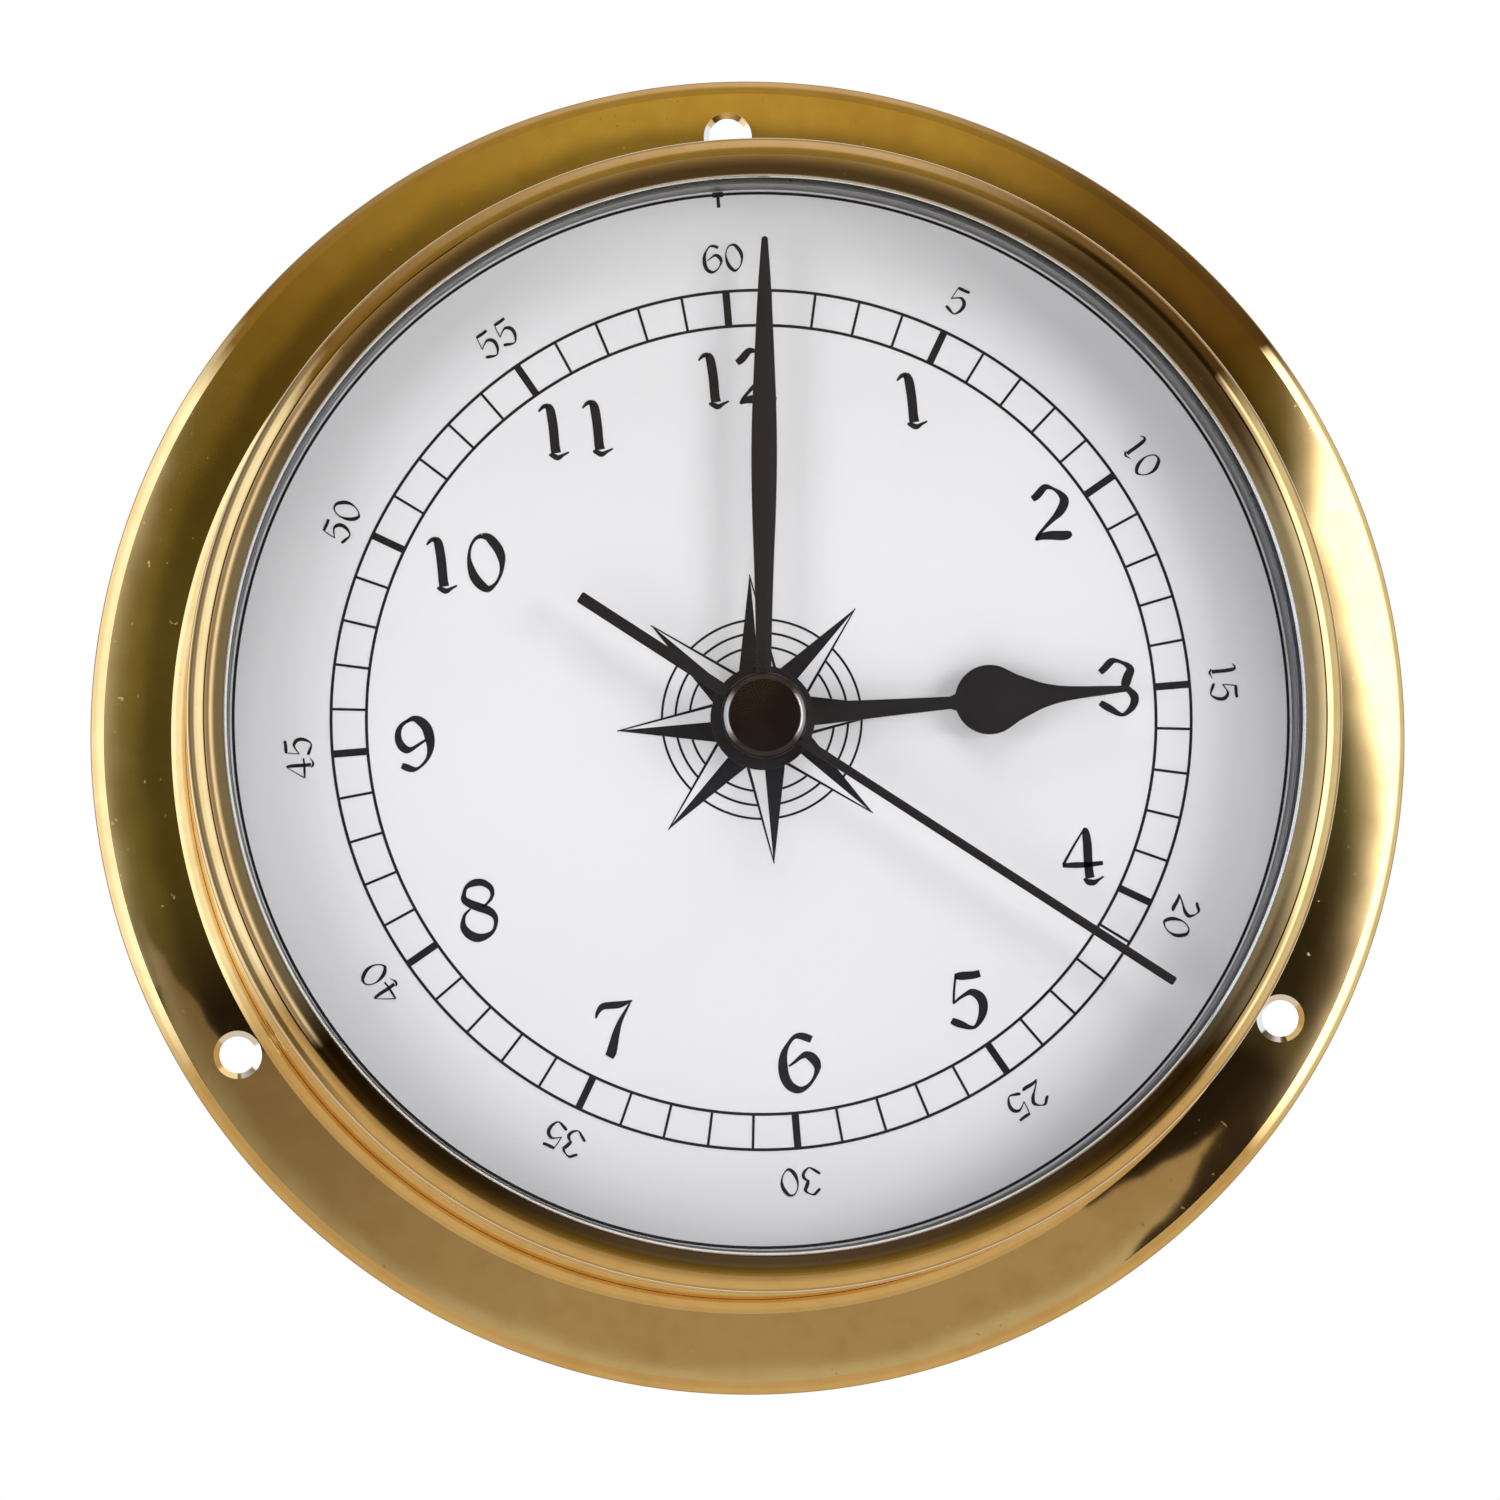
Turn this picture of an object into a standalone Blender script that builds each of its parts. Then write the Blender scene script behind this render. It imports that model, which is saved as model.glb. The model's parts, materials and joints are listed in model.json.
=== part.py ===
"""Marine wall clock: a turned brass case with a screwed wall flange, a printed dial and a quartz movement.

The clock is drawn in its own frame: X to the right, Y up and Z out of the wall, towards the viewer.
An empty turns that frame upright, so the world has +Z up, the wall is the plane Y = 0 and the dial
looks along -Y. The origin is the centre of the flange's back face. All sizes are in metres.
"""
import math

import bmesh
import bpy

# Fits
FIT = 0.0002              # gap between pieces that seat on each other
SIDE_FIT = 0.0003         # gap round the discs and rings inside the bore
RUNNING_FIT = 0.00015     # radial gap of tubes and shafts that turn
PIVOT_FIT = 0.0001        # radial gap of a pivot in its hole
OVERCUT = 0.001           # how far a cutter runs past the face that it opens

# Battery and the bay that holds it
BATTERY_LENGTH = 0.0495
BATTERY_RADIUS = 0.007
BATTERY_NUB_RADIUS = 0.00275
BATTERY_NUB_HEIGHT = 0.001
BATTERY_SIDE_ROOM = 0.0007
CONTACT_THICKNESS = 0.0004
CONTACT_WIDTH = 0.010
CONTACT_HEIGHT = 0.009
SPRING_LENGTH = 0.0017
SPRING_RADIUS = 0.0042
SPRING_END_RADIUS = 0.0024
SPRING_WIRE_RADIUS = 0.00022
SPRING_TURNS = 2.5

# Movement case
SHELL_WALL = 0.0016
SHELL_CORNER = 0.003
PARTITION_WALL = 0.001
POST_WALL = 0.00075       # wall of the threaded centre post
BRIDGE_THICKNESS = 0.0008
BRIDGE_MARGIN = 0.002     # plate beyond the centres of its posts
BRIDGE_POST_RADIUS = 0.0015
BRIDGE_WALL_ROOM = 0.001  # from the bridge to the battery's partition
BRIDGE_HOLE_WALL = 0.00174  # plate beyond the hole of the setting shaft
COIL_BRIDGE_ROOM = 0.0005
ARM_POST_ROOM = 0.00086   # from a post to the stator's upper arm
RING_POST_ROOM = 0.0002   # from a post to the level of the stator's ring
WHEEL_POST_ROOM = 0.00044  # from a post to the level of the third wheel's teeth

# Gear train
WHEEL_THICKNESS = 0.0008
LAYER_GAP = 0.0009        # space between one wheel and the next layer
FLOOR_ROOM = 0.0006
ROOF_ROOM = 0.0003
PINION_MARGIN = 0.0003    # how far a pinion stands out past the wheel that it meets
ARBOR_RADIUS = 0.0005
PIVOT_RADIUS = 0.0003
PIVOT_LENGTH = 0.0009
PIVOT_END_GAP = 0.0001
BRIDGE_PIVOT_LENGTH = 0.0006
END_PLAY = 0.0003
FIFTH_TO_ROTOR = 0.0070
CENTRE_TO_THIRD = 0.0090
FIFTH_WHEEL_ROOM = 0.00038   # from the fifth wheel's teeth to the seconds arbor
MINUTE_WHEEL_ROOM = 0.00035  # from the minute wheel's teeth to the motion arbor
FIFTH_DIRECTION = -20.0   # degrees, anticlockwise from the right
ROTOR_DIRECTION = 20.0
THIRD_DIRECTION = 70.0
MOTION_DIRECTION = 160.0
KNOB_DIRECTION = 90.0
FIFTH_TEETH, ROTOR_PINION_TEETH = 60, 10
SECONDS_TEETH, FIFTH_PINION_TEETH = 50, 10
THIRD_TEETH, SECONDS_PINION_TEETH = 60, 8
MINUTE_TEETH, THIRD_PINION_TEETH = 64, 8
MOTION_TEETH, CANNON_TEETH, KNOB_PINION_TEETH = 36, 12, 14
HOUR_TEETH, MOTION_PINION_TEETH = 40, 10
ADDENDUM = 0.6            # in modules
DEDENDUM = 1.1            # in modules

# Concentric tubes of the hands
TUBE_WALL = 0.0007
TUBE_STAND = 0.0004       # how far a tube stands out in front of its hand

# Stepping motor and electronics
MAGNET_RADIUS = 0.0028
MAGNET_LENGTH = 0.0028
STATOR_THICKNESS = 0.0008
STATOR_AIR_GAP = 0.0005
STATOR_PINION_ROOM = 0.00039  # from the stator's ring to the fifth pinion
STATOR_ARM_WIDTH = 0.0020
STATOR_EDGE_ROOM = 0.0016  # from the stator to the top wall
STATOR_POST_RADIUS = 0.0010
CORE_WIDTH = 0.0016
CORE_OVERLAP = 0.0016     # how far the core lies over each stator arm
BOBBIN_WALL = 0.0003
COIL_RADIUS = 0.00325
COIL_FLANGE_RADIUS = 0.0036
COIL_FLANGE_THICKNESS = 0.0006
COIL_ARM_ROOM = 0.0010
COIL_WALL_ROOM = 0.0012   # from the coil to the side wall
BOARD_LENGTH = 0.032
BOARD_THICKNESS = 0.0010
BOARD_HEIGHT = 0.0024     # from the floor to the back of the board
BOARD_EDGE_ROOM = 0.0005
BOARD_END_ROOM = 0.0014   # from the board to the battery's partition
BOARD_BRIDGE_ROOM = 0.0021  # from the board to the bridge's posts
BOARD_POST_RADIUS = 0.0010
BOARD_POST_INSET = 0.0025
CHIP_SIZE = 0.006
CHIP_HEIGHT = 0.0012
CRYSTAL_RADIUS = 0.0010
CRYSTAL_LENGTH = 0.006

# Setting knob
KNOB_RADIUS = 0.006
KNOB_THICKNESS = 0.0022
KNOB_SHAFT_RADIUS = 0.0010
KNOB_GAP = 0.0004
KNOB_ROOM = 0.0028        # from the cover to the knob

# Rear cover, its seal and its screws
COVER_RECESS = 0.0010
COVER_RIM = 0.0046
COVER_WEB = 0.0020
COVER_EDGE_CHAMFER = 0.0003
SEAL_RADIUS = 0.0007
SEAL_GAP = 0.00015
SCREW_HEAD_RADIUS = 0.0018
SCREW_HEAD_HEIGHT = 0.0014
SCREW_SLOT_WIDTH = 0.0005
SCREW_SLOT_DEPTH = 0.0007
SCREW_RADIUS = 0.0009
SCREW_LENGTH = 0.0085
SCREW_TIP_ROOM = 0.002
SCREW_ANGLES = (60.0, 180.0, 300.0)

# Dial carrier
MOVEMENT_ROOM = 0.00105   # gap round the movement's corners
BOSS_INSET = 0.0003
BOSS_RADIUS = 0.0020
LEDGE_ROOM = 0.0006
LEDGE_WIDTH = 0.0020
LEDGE_THICKNESS = 0.0018
CARRIER_THICKNESS = 0.0028

# Dial, glass and hands
WASHER_THICKNESS = 0.0006
WASHER_RADIUS = 0.008
DIAL_THICKNESS = 0.0006
NUT_THICKNESS = 0.0011
NUT_WALL = 0.0010
NUT_SLOT_WIDTH = 0.0010
NUT_SLOT_DEPTH = 0.0005
REHAUT_WALL = 0.0010
GASKET_WIDTH = 0.0007
GASKET_THICKNESS = 0.0006
GLASS_THICKNESS = 0.0015
GLASS_CHAMFER = 0.0002
GLASS_ROOM = 0.0003       # from the cap to the glass
HAND_FIT = 0.0001
HOUR_HAND_GAP = 0.0003    # from the nut to the hour hand
HOUR_HAND_THICKNESS = 0.0006
MINUTE_HAND_GAP = 0.0011  # from the hour hand to the minute hand
MINUTE_HAND_THICKNESS = 0.0004
SECONDS_HAND_GAP = 0.0008  # from the minute hand to the seconds hand
SECONDS_HAND_THICKNESS = 0.0003
HOUR_ANGLE = 87.35        # degrees clockwise from the top hole of the flange
MINUTE_ANGLE = 2.2
SECONDS_ANGLE = 124.9
HOUR_HUB_RADIUS = 0.00445
MINUTE_HUB_RADIUS = 0.0033
SECONDS_HUB_RADIUS = 0.0020
BULB_REACH = 0.01935      # centre of the hour hand's round bulb
BULB_RADIUS = 0.00295
BULB_END_ANGLE = 33.0     # degrees, where the point starts on the bulb
HOUR_POINT_LENGTH = 0.01054  # from the bulb's end to the tip
MINUTE_TIP_ROOM = 0.0044  # from the tip to the ring round the dial
SECONDS_TIP_ROOM = 0.0039
CAP_RADIUS = 0.00365
CAP_HEIGHT = 0.0010
CAP_EDGE = 0.0003

HOUR_SHANK_HALF = 0.0009  # half the width of the hand at its widest there
HOUR_POINT_HALF = 0.00194
MINUTE_LEAF_HALF = 0.00109
MINUTE_ROOT_HALF = 0.00062

# Each station is a share of the stretch's length and a share of its half width
HOUR_SHANK = [(0.172, 1.0), (0.548, 0.78), (0.967, 0.58)]
HOUR_POINT = [(0.10, 1.0), (0.20, 0.72), (0.30, 0.51), (0.45, 0.345), (0.70, 0.20), (0.975, 0.12)]
MINUTE_LEAF = [(0.196, 0.64), (0.318, 0.77), (0.440, 0.94), (0.550, 1.0), (0.648, 0.93), (0.758, 0.76),
               (0.892, 0.52), (0.993, 0.28)]
SECONDS_TAIL = 0.0186
SECONDS_FRONT_HALF = 0.00038
SECONDS_TAIL_HALF = 0.0005
SECONDS_END_ROUND = 0.0002

# Brass case and bezel
SPIGOT_WALL = 0.0010
SPIGOT_HEIGHT = 0.0034
BEZEL_FIT = 0.0002
BEZEL_SKIRT = 0.0009
BEZEL_GROOVE = 0.0004     # gap seen between bezel and drum
BEZEL_SHOULDER = 0.0016
BEZEL_LIP = 0.0009        # overlap of the lip on the glass
BEZEL_LIP_THICKNESS = 0.0006
BEZEL_CREST = 0.0008      # rise from the lip to the crest
BEZEL_EDGE = 0.0001
DRUM_STEP = 0.0002
DRUM_TAPER = 0.0003
DRUM_EDGE_ROUND = 0.0003
FLANGE_WIDTH = 0.0083
FLANGE_THICKNESS = 0.0030
FLANGE_FILLET = 0.0012
FLANGE_FRONT_ROUND = 0.0010
FLANGE_BACK_ROUND = 0.0004
HOLE_RADIUS = 0.0016
HOLE_EDGE = 0.0049        # from the hole's centre to the flange's edge
HOLE_ANGLES = (0.0, 120.0, 240.0)
COUNTERSINK_RADIUS = 0.0021
COUNTERSINK_DEPTH = 0.0006

# Fineness of round shapes
RING_STEPS = 48
TUBE_STEPS = 20
ARBOR_STEPS = 12

# Heights above the wall, from the back
COVER_FRONT = COVER_RECESS + COVER_RIM
KNOB_BACK = COVER_FRONT + KNOB_ROOM
MOVEMENT_BACK = KNOB_BACK + KNOB_THICKNESS + KNOB_GAP
FLOOR = MOVEMENT_BACK + SHELL_WALL
LAYER_PITCH = WHEEL_THICKNESS + LAYER_GAP
TRAIN_LAYERS = 7


def layer(number):
    """Back of a layer of the gear train. Layer 3 is the bridge."""
    return FLOOR + FLOOR_ROOM + number * LAYER_PITCH


FIFTH_LAYER, SECONDS_LAYER, THIRD_LAYER, BRIDGE_LAYER = 0, 1, 2, 3
MINUTE_LAYER, MOTION_LAYER, HOUR_LAYER = 4, 5, 6
BRIDGE_BACK = layer(BRIDGE_LAYER)
BRIDGE_FRONT = BRIDGE_BACK + BRIDGE_THICKNESS
SPLIT = BRIDGE_BACK + BRIDGE_THICKNESS / 2
ROOF = max(layer(TRAIN_LAYERS) + ROOF_ROOM, MOVEMENT_BACK + 2 * BATTERY_RADIUS + 2 * FIT)
MOVEMENT_FRONT = ROOF + SHELL_WALL
WASHER_BACK = MOVEMENT_FRONT + FIT
DIAL_BACK = WASHER_BACK + WASHER_THICKNESS + FIT
DIAL_FRONT = DIAL_BACK + DIAL_THICKNESS
CARRIER_FRONT = DIAL_BACK - FIT
CARRIER_BACK = CARRIER_FRONT - CARRIER_THICKNESS
LEDGE_FRONT = CARRIER_BACK - FIT
LEDGE_BACK = LEDGE_FRONT - LEDGE_THICKNESS
NUT_BACK = DIAL_FRONT + FIT
NUT_FRONT = NUT_BACK + NUT_THICKNESS
HOUR_HAND_BACK = NUT_FRONT + HOUR_HAND_GAP
HOUR_HAND_FRONT = HOUR_HAND_BACK + HOUR_HAND_THICKNESS
MINUTE_HAND_BACK = HOUR_HAND_FRONT + MINUTE_HAND_GAP
MINUTE_HAND_FRONT = MINUTE_HAND_BACK + MINUTE_HAND_THICKNESS
SECONDS_HAND_BACK = MINUTE_HAND_FRONT + SECONDS_HAND_GAP
SECONDS_HAND_FRONT = SECONDS_HAND_BACK + SECONDS_HAND_THICKNESS
CAP_BACK = SECONDS_HAND_FRONT + FIT
CAP_FRONT = CAP_BACK + CAP_HEIGHT
GLASS_BACK = CAP_FRONT + GLASS_ROOM
GLASS_FRONT = GLASS_BACK + GLASS_THICKNESS
GASKET_FRONT = GLASS_BACK - FIT
GASKET_BACK = GASKET_FRONT - GASKET_THICKNESS
REHAUT_FRONT = GASKET_BACK - FIT
REHAUT_BACK = DIAL_FRONT + FIT
SPIGOT_FRONT = GLASS_FRONT
DRUM_FRONT = SPIGOT_FRONT - SPIGOT_HEIGHT
LIP_BACK = GLASS_FRONT + FIT
LIP_FRONT = LIP_BACK + BEZEL_LIP_THICKNESS
CREST = LIP_FRONT + BEZEL_CREST



def stepped(origin, distance, direction):
    return (origin[0] + distance * math.cos(math.radians(direction)),
            origin[1] + distance * math.sin(math.radians(direction)))


def module_of(distance, teeth, other_teeth):
    return 2 * distance / (teeth + other_teeth)


def tip_radius(module, teeth):
    return module * (teeth / 2 + ADDENDUM)


# Gears and the places of their arbors
CENTRE = (0.0, 0.0)
ROTOR_MODULE = module_of(FIFTH_TO_ROTOR, FIFTH_TEETH, ROTOR_PINION_TEETH)
SECONDS_TO_FIFTH = tip_radius(ROTOR_MODULE, FIFTH_TEETH) + ARBOR_RADIUS + FIFTH_WHEEL_ROOM
FIFTH_MODULE = module_of(SECONDS_TO_FIFTH, SECONDS_TEETH, FIFTH_PINION_TEETH)
THIRD_MODULE = module_of(CENTRE_TO_THIRD, THIRD_TEETH, SECONDS_PINION_TEETH)
MINUTE_MODULE = module_of(CENTRE_TO_THIRD, MINUTE_TEETH, THIRD_PINION_TEETH)
CENTRE_TO_MOTION = tip_radius(MINUTE_MODULE, MINUTE_TEETH) + ARBOR_RADIUS + MINUTE_WHEEL_ROOM
MOTION_MODULE = module_of(CENTRE_TO_MOTION, MOTION_TEETH, CANNON_TEETH)
HOUR_MODULE = module_of(CENTRE_TO_MOTION, HOUR_TEETH, MOTION_PINION_TEETH)
CENTRE_TO_KNOB = MOTION_MODULE * (MOTION_TEETH + KNOB_PINION_TEETH) / 2
FIFTH = stepped(CENTRE, SECONDS_TO_FIFTH, FIFTH_DIRECTION)
ROTOR = stepped(FIFTH, FIFTH_TO_ROTOR, ROTOR_DIRECTION)
THIRD = stepped(CENTRE, CENTRE_TO_THIRD, THIRD_DIRECTION)
MOTION = stepped(CENTRE, CENTRE_TO_MOTION, MOTION_DIRECTION)
KNOB = stepped(MOTION, CENTRE_TO_KNOB, KNOB_DIRECTION)
PIVOT_HOLE = PIVOT_RADIUS + PIVOT_FIT
PIVOT_DEPTH = PIVOT_LENGTH + PIVOT_END_GAP

# Plan of the movement
INNER_X = (BATTERY_LENGTH + SPRING_LENGTH + 2 * CONTACT_THICKNESS + 4 * FIT) / 2
STATOR_BORE = MAGNET_RADIUS + STATOR_AIR_GAP
STATOR_RADIUS = FIFTH_TO_ROTOR - tip_radius(FIFTH_MODULE, FIFTH_PINION_TEETH) - STATOR_PINION_ROOM
CORE_X = INNER_X - COIL_WALL_ROOM - COIL_FLANGE_RADIUS
BRIDGE_RIGHT = CORE_X - COIL_FLANGE_RADIUS - COIL_BRIDGE_ROOM
BRIDGE_LEFT = KNOB[0] - KNOB_SHAFT_RADIUS - SIDE_FIT - BRIDGE_HOLE_WALL
POST_LEFT = BRIDGE_LEFT + BRIDGE_MARGIN
POST_LOW = ROTOR[1] - STATOR_RADIUS - RING_POST_ROOM - BRIDGE_POST_RADIUS
POST_HIGH = THIRD[1] + tip_radius(THIRD_MODULE, THIRD_TEETH) + WHEEL_POST_ROOM + BRIDGE_POST_RADIUS
ARM_POST_X = ROTOR[0] - STATOR_ARM_WIDTH / 2 - ARM_POST_ROOM - BRIDGE_POST_RADIUS
BRIDGE_POSTS = [(POST_LEFT, POST_LOW), (BRIDGE_RIGHT - BRIDGE_MARGIN, POST_LOW),
                (POST_LEFT, POST_HIGH), (ARM_POST_X, POST_HIGH)]
BRIDGE_BOTTOM = POST_LOW - BRIDGE_MARGIN
BRIDGE_TOP = POST_HIGH + BRIDGE_MARGIN
GEAR_ROOM_BELOW = BRIDGE_WALL_ROOM - BRIDGE_BOTTOM
BOARD_BOTTOM = BOARD_END_ROOM - GEAR_ROOM_BELOW
BOARD_TOP = BOARD_BOTTOM + BOARD_LENGTH
BOARD_LEFT = BOARD_EDGE_ROOM - INNER_X
BOARD_RIGHT = POST_LEFT - BRIDGE_POST_RADIUS - BOARD_BRIDGE_ROOM
GEAR_ROOM_ABOVE = BOARD_TOP + SHELL_CORNER
BAY_TOP = -GEAR_ROOM_BELOW - PARTITION_WALL
BATTERY_Y = BAY_TOP - BATTERY_SIDE_ROOM - BATTERY_RADIUS
BAY_BOTTOM = BATTERY_Y - BATTERY_RADIUS - BATTERY_SIDE_ROOM
BATTERY_Z = MOVEMENT_BACK + FIT + BATTERY_RADIUS
OUTER_X = INNER_X + SHELL_WALL
OUTER_TOP = GEAR_ROOM_ABOVE + SHELL_WALL
OUTER_BOTTOM = BAY_BOTTOM - SHELL_WALL
CORNER_Y = max(OUTER_TOP, -OUTER_BOTTOM) - SHELL_CORNER
MOVEMENT_REACH = math.hypot(OUTER_X - SHELL_CORNER, CORNER_Y) + SHELL_CORNER

# Radii, from the movement outwards
SECONDS_BORE = ARBOR_RADIUS + RUNNING_FIT
MINUTE_TUBE = SECONDS_BORE + TUBE_WALL
MINUTE_BORE = MINUTE_TUBE + RUNNING_FIT
HOUR_TUBE = MINUTE_BORE + TUBE_WALL
POST_BORE = HOUR_TUBE + RUNNING_FIT
POST_RADIUS = POST_BORE + POST_WALL
NUT_BORE = POST_RADIUS + FIT
NUT_RADIUS = NUT_BORE + NUT_WALL
DIAL_HOLE = POST_RADIUS + SIDE_FIT
CARRIER_INNER = MOVEMENT_REACH + MOVEMENT_ROOM
BOSS_CIRCLE = CARRIER_INNER + BOSS_INSET + BOSS_RADIUS
LEDGE_RADIUS = BOSS_CIRCLE + BOSS_RADIUS + LEDGE_ROOM
INSERT_RADIUS = LEDGE_RADIUS + LEDGE_WIDTH
BORE_RADIUS = INSERT_RADIUS + SIDE_FIT
SPIGOT_RADIUS = BORE_RADIUS + SPIGOT_WALL
SKIRT_BORE = SPIGOT_RADIUS + BEZEL_FIT
SKIRT_RADIUS = SKIRT_BORE + BEZEL_SKIRT
DRUM_TOP_RADIUS = SKIRT_RADIUS + DRUM_STEP
DRUM_RADIUS = DRUM_TOP_RADIUS + DRUM_TAPER
FLANGE_RADIUS = DRUM_RADIUS + FLANGE_WIDTH
HOLE_CIRCLE = FLANGE_RADIUS - HOLE_EDGE
SEAL_GROOVE_RADIUS = BORE_RADIUS - 2 * (SEAL_RADIUS + SEAL_GAP)
REHAUT_INNER = INSERT_RADIUS - REHAUT_WALL
MINUTE_REACH = REHAUT_INNER - MINUTE_TIP_ROOM
SECONDS_REACH = REHAUT_INNER - SECONDS_TIP_ROOM
SCREW_HOLE_RADIUS = SCREW_RADIUS + RUNNING_FIT
COUNTERBORE_RADIUS = SCREW_HEAD_RADIUS + FIT

# Name: colour, roughness, metallic, transmission
FINISHES = {
    "polished_brass": ((0.72, 0.52, 0.22), 0.14, 1.0, 0.0),
    "clear_glass": ((1.0, 1.0, 1.0), 0.02, 0.0, 1.0),
    "satin_metal": ((0.62, 0.62, 0.63), 0.22, 1.0, 0.0),
    "printed_dial": ((0.86, 0.86, 0.88), 0.42, 0.0, 0.0),
    "black_hand": ((0.022, 0.018, 0.018), 0.30, 0.0, 0.0),
    "black_plastic": ((0.03, 0.03, 0.032), 0.45, 0.0, 0.0),
    "white_plastic": ((0.82, 0.82, 0.80), 0.45, 0.0, 0.0),
    "black_rubber": ((0.02, 0.02, 0.02), 0.70, 0.0, 0.0),
    "plated_steel": ((0.60, 0.60, 0.58), 0.30, 1.0, 0.0),
    "copper_wire": ((0.66, 0.30, 0.16), 0.35, 1.0, 0.0),
    "circuit_green": ((0.03, 0.20, 0.09), 0.40, 0.0, 0.0),
    "battery_label": ((0.08, 0.10, 0.14), 0.30, 0.0, 0.0),
}


# Meshes
def closed_mesh(name, shape):
    """Turn a bmesh into a mesh that is smooth but for its sharp edges."""
    bmesh.ops.recalc_face_normals(shape, faces=shape.faces)
    mesh = bpy.data.meshes.new(name)
    shape.to_mesh(mesh)
    shape.free()
    mesh.shade_smooth()
    mesh.set_sharp_from_angle(angle=math.radians(35))
    return mesh


def box_mesh(name, low, high):
    shape = bmesh.new()
    bmesh.ops.create_cube(shape, size=1.0)
    for vertex in shape.verts:
        for axis in range(3):
            vertex.co[axis] = high[axis] if vertex.co[axis] > 0 else low[axis]
    return closed_mesh(name, shape)


def cone_mesh(name, back_radius, front_radius, back, front, steps):
    shape = bmesh.new()
    bmesh.ops.create_cone(shape, cap_ends=True, segments=steps, radius1=back_radius,
                          radius2=front_radius, depth=front - back)
    bmesh.ops.translate(shape, verts=shape.verts, vec=(0.0, 0.0, (back + front) / 2))
    return closed_mesh(name, shape)


def rod_mesh(name, radius, back, front, steps=TUBE_STEPS):
    return cone_mesh(name, radius, radius, back, front, steps)


def plate_mesh(name, loops, back, front):
    """A flat plate from closed outlines. Loops inside the first are holes."""
    curve = bpy.data.curves.new(name, "CURVE")
    curve.dimensions = "2D"
    curve.fill_mode = "BOTH"
    curve.extrude = (front - back) / 2
    for loop in loops:
        spline = curve.splines.new("POLY")
        spline.points.add(len(loop) - 1)
        for point, (x, y) in zip(spline.points, loop):
            point.co = (x, y, 0.0, 1.0)
        spline.use_cyclic_u = True
    return mesh_from_curve(name, curve, (back + front) / 2)


def mesh_from_curve(name, curve, lift=0.0):
    guide = bpy.data.objects.new(name, curve)
    bpy.context.scene.collection.objects.link(guide)
    evaluated = guide.evaluated_get(bpy.context.evaluated_depsgraph_get())
    loose = bpy.data.meshes.new_from_object(evaluated)
    shape = bmesh.new()
    shape.from_mesh(loose)
    bmesh.ops.remove_doubles(shape, verts=shape.verts, dist=1e-6)
    bmesh.ops.translate(shape, verts=shape.verts, vec=(0.0, 0.0, lift))
    bpy.data.objects.remove(guide)
    bpy.data.meshes.remove(loose)
    return closed_mesh(name, shape)


def profile_mesh(name, profile, closed):
    """A profile of (radius, height) points, which runs down the outer side of the shape."""
    count = len(profile)
    edges = [(index, (index + 1) % count) for index in range(count if closed else count - 1)]
    mesh = bpy.data.meshes.new(name)
    mesh.from_pydata([(radius, 0.0, height) for radius, height in profile], edges, [])
    return mesh


def gear_mesh(name, teeth, module, back, front, phase, corners):
    """A toothed outline raised to a plate. Corners of a tooth: (offset in pitches, tip or root)."""
    tip = tip_radius(module, teeth)
    root = module * (teeth / 2 - DEDENDUM)
    pitch = 2 * math.pi / teeth
    shape = bmesh.new()
    outline = []
    for tooth in range(teeth):
        for offset, at_tip in corners:
            angle = phase + (tooth + offset) * pitch
            radius = tip if at_tip else root
            outline.append(shape.verts.new((radius * math.cos(angle), radius * math.sin(angle), back)))
    side = bmesh.ops.extrude_face_region(shape, geom=[shape.faces.new(outline)])
    raised = [item for item in side["geom"] if isinstance(item, bmesh.types.BMVert)]
    bmesh.ops.translate(shape, verts=raised, vec=(0.0, 0.0, front - back))
    return closed_mesh(name, shape)


WHEEL_CORNERS = [(-0.06, True), (0.06, True), (0.5, False)]
PINION_CORNERS = [(-0.2, False), (-0.07, True), (0.07, True), (0.2, False)]


def wheel_mesh(name, teeth, module, number, phase):
    return gear_mesh(name, teeth, module, layer(number), layer(number) + WHEEL_THICKNESS, phase,
                     WHEEL_CORNERS)


def pinion_mesh(name, teeth, module, number, phase):
    """A pinion that meets the wheel in the given layer."""
    return gear_mesh(name, teeth, module, layer(number) - PINION_MARGIN,
                     layer(number) + WHEEL_THICKNESS + PINION_MARGIN, phase, PINION_CORNERS)


# Outlines
def circle(radius, steps=TUBE_STEPS, centre=(0.0, 0.0)):
    return arc(radius, 0.0, 360.0 * (steps - 1) / steps, steps, centre)


def arc(radius, start, end, points, centre=(0.0, 0.0)):
    angles = [math.radians(start + (end - start) * index / (points - 1)) for index in range(points)]
    return [(centre[0] + radius * math.cos(angle), centre[1] + radius * math.sin(angle))
            for angle in angles]


def rounded_rectangle(left, bottom, right, top, radius, points=4):
    outline = []
    centres = [(right - radius, top - radius), (left + radius, top - radius),
               (left + radius, bottom + radius), (right - radius, bottom + radius)]
    for quarter, centre in enumerate(centres):
        outline += arc(radius, 90.0 * quarter, 90.0 * (quarter + 1), points, centre)
    return outline


def mirrored(right_side):
    """Close an outline whose right side runs from the foot to the tip."""
    return right_side + [(-x, y) for x, y in reversed(right_side) if x > 0]


def hub_side(radius, tail_half, front_half, points=9):
    """The right side of a hub's circle, between the tail and the front of a hand."""
    start = -90.0 + math.degrees(math.asin(tail_half / radius))
    end = 90.0 - math.degrees(math.asin(front_half / radius))
    return arc(radius, start, end, points)


def around(radius, angle):
    """A point on a circle, by its clockwise angle from the top."""
    return (radius * math.sin(math.radians(angle)), radius * math.cos(math.radians(angle)))


# Objects
def link_collection(name):
    collection = bpy.data.collections.new(name)
    bpy.context.scene.collection.children.link(collection)
    return collection


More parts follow.
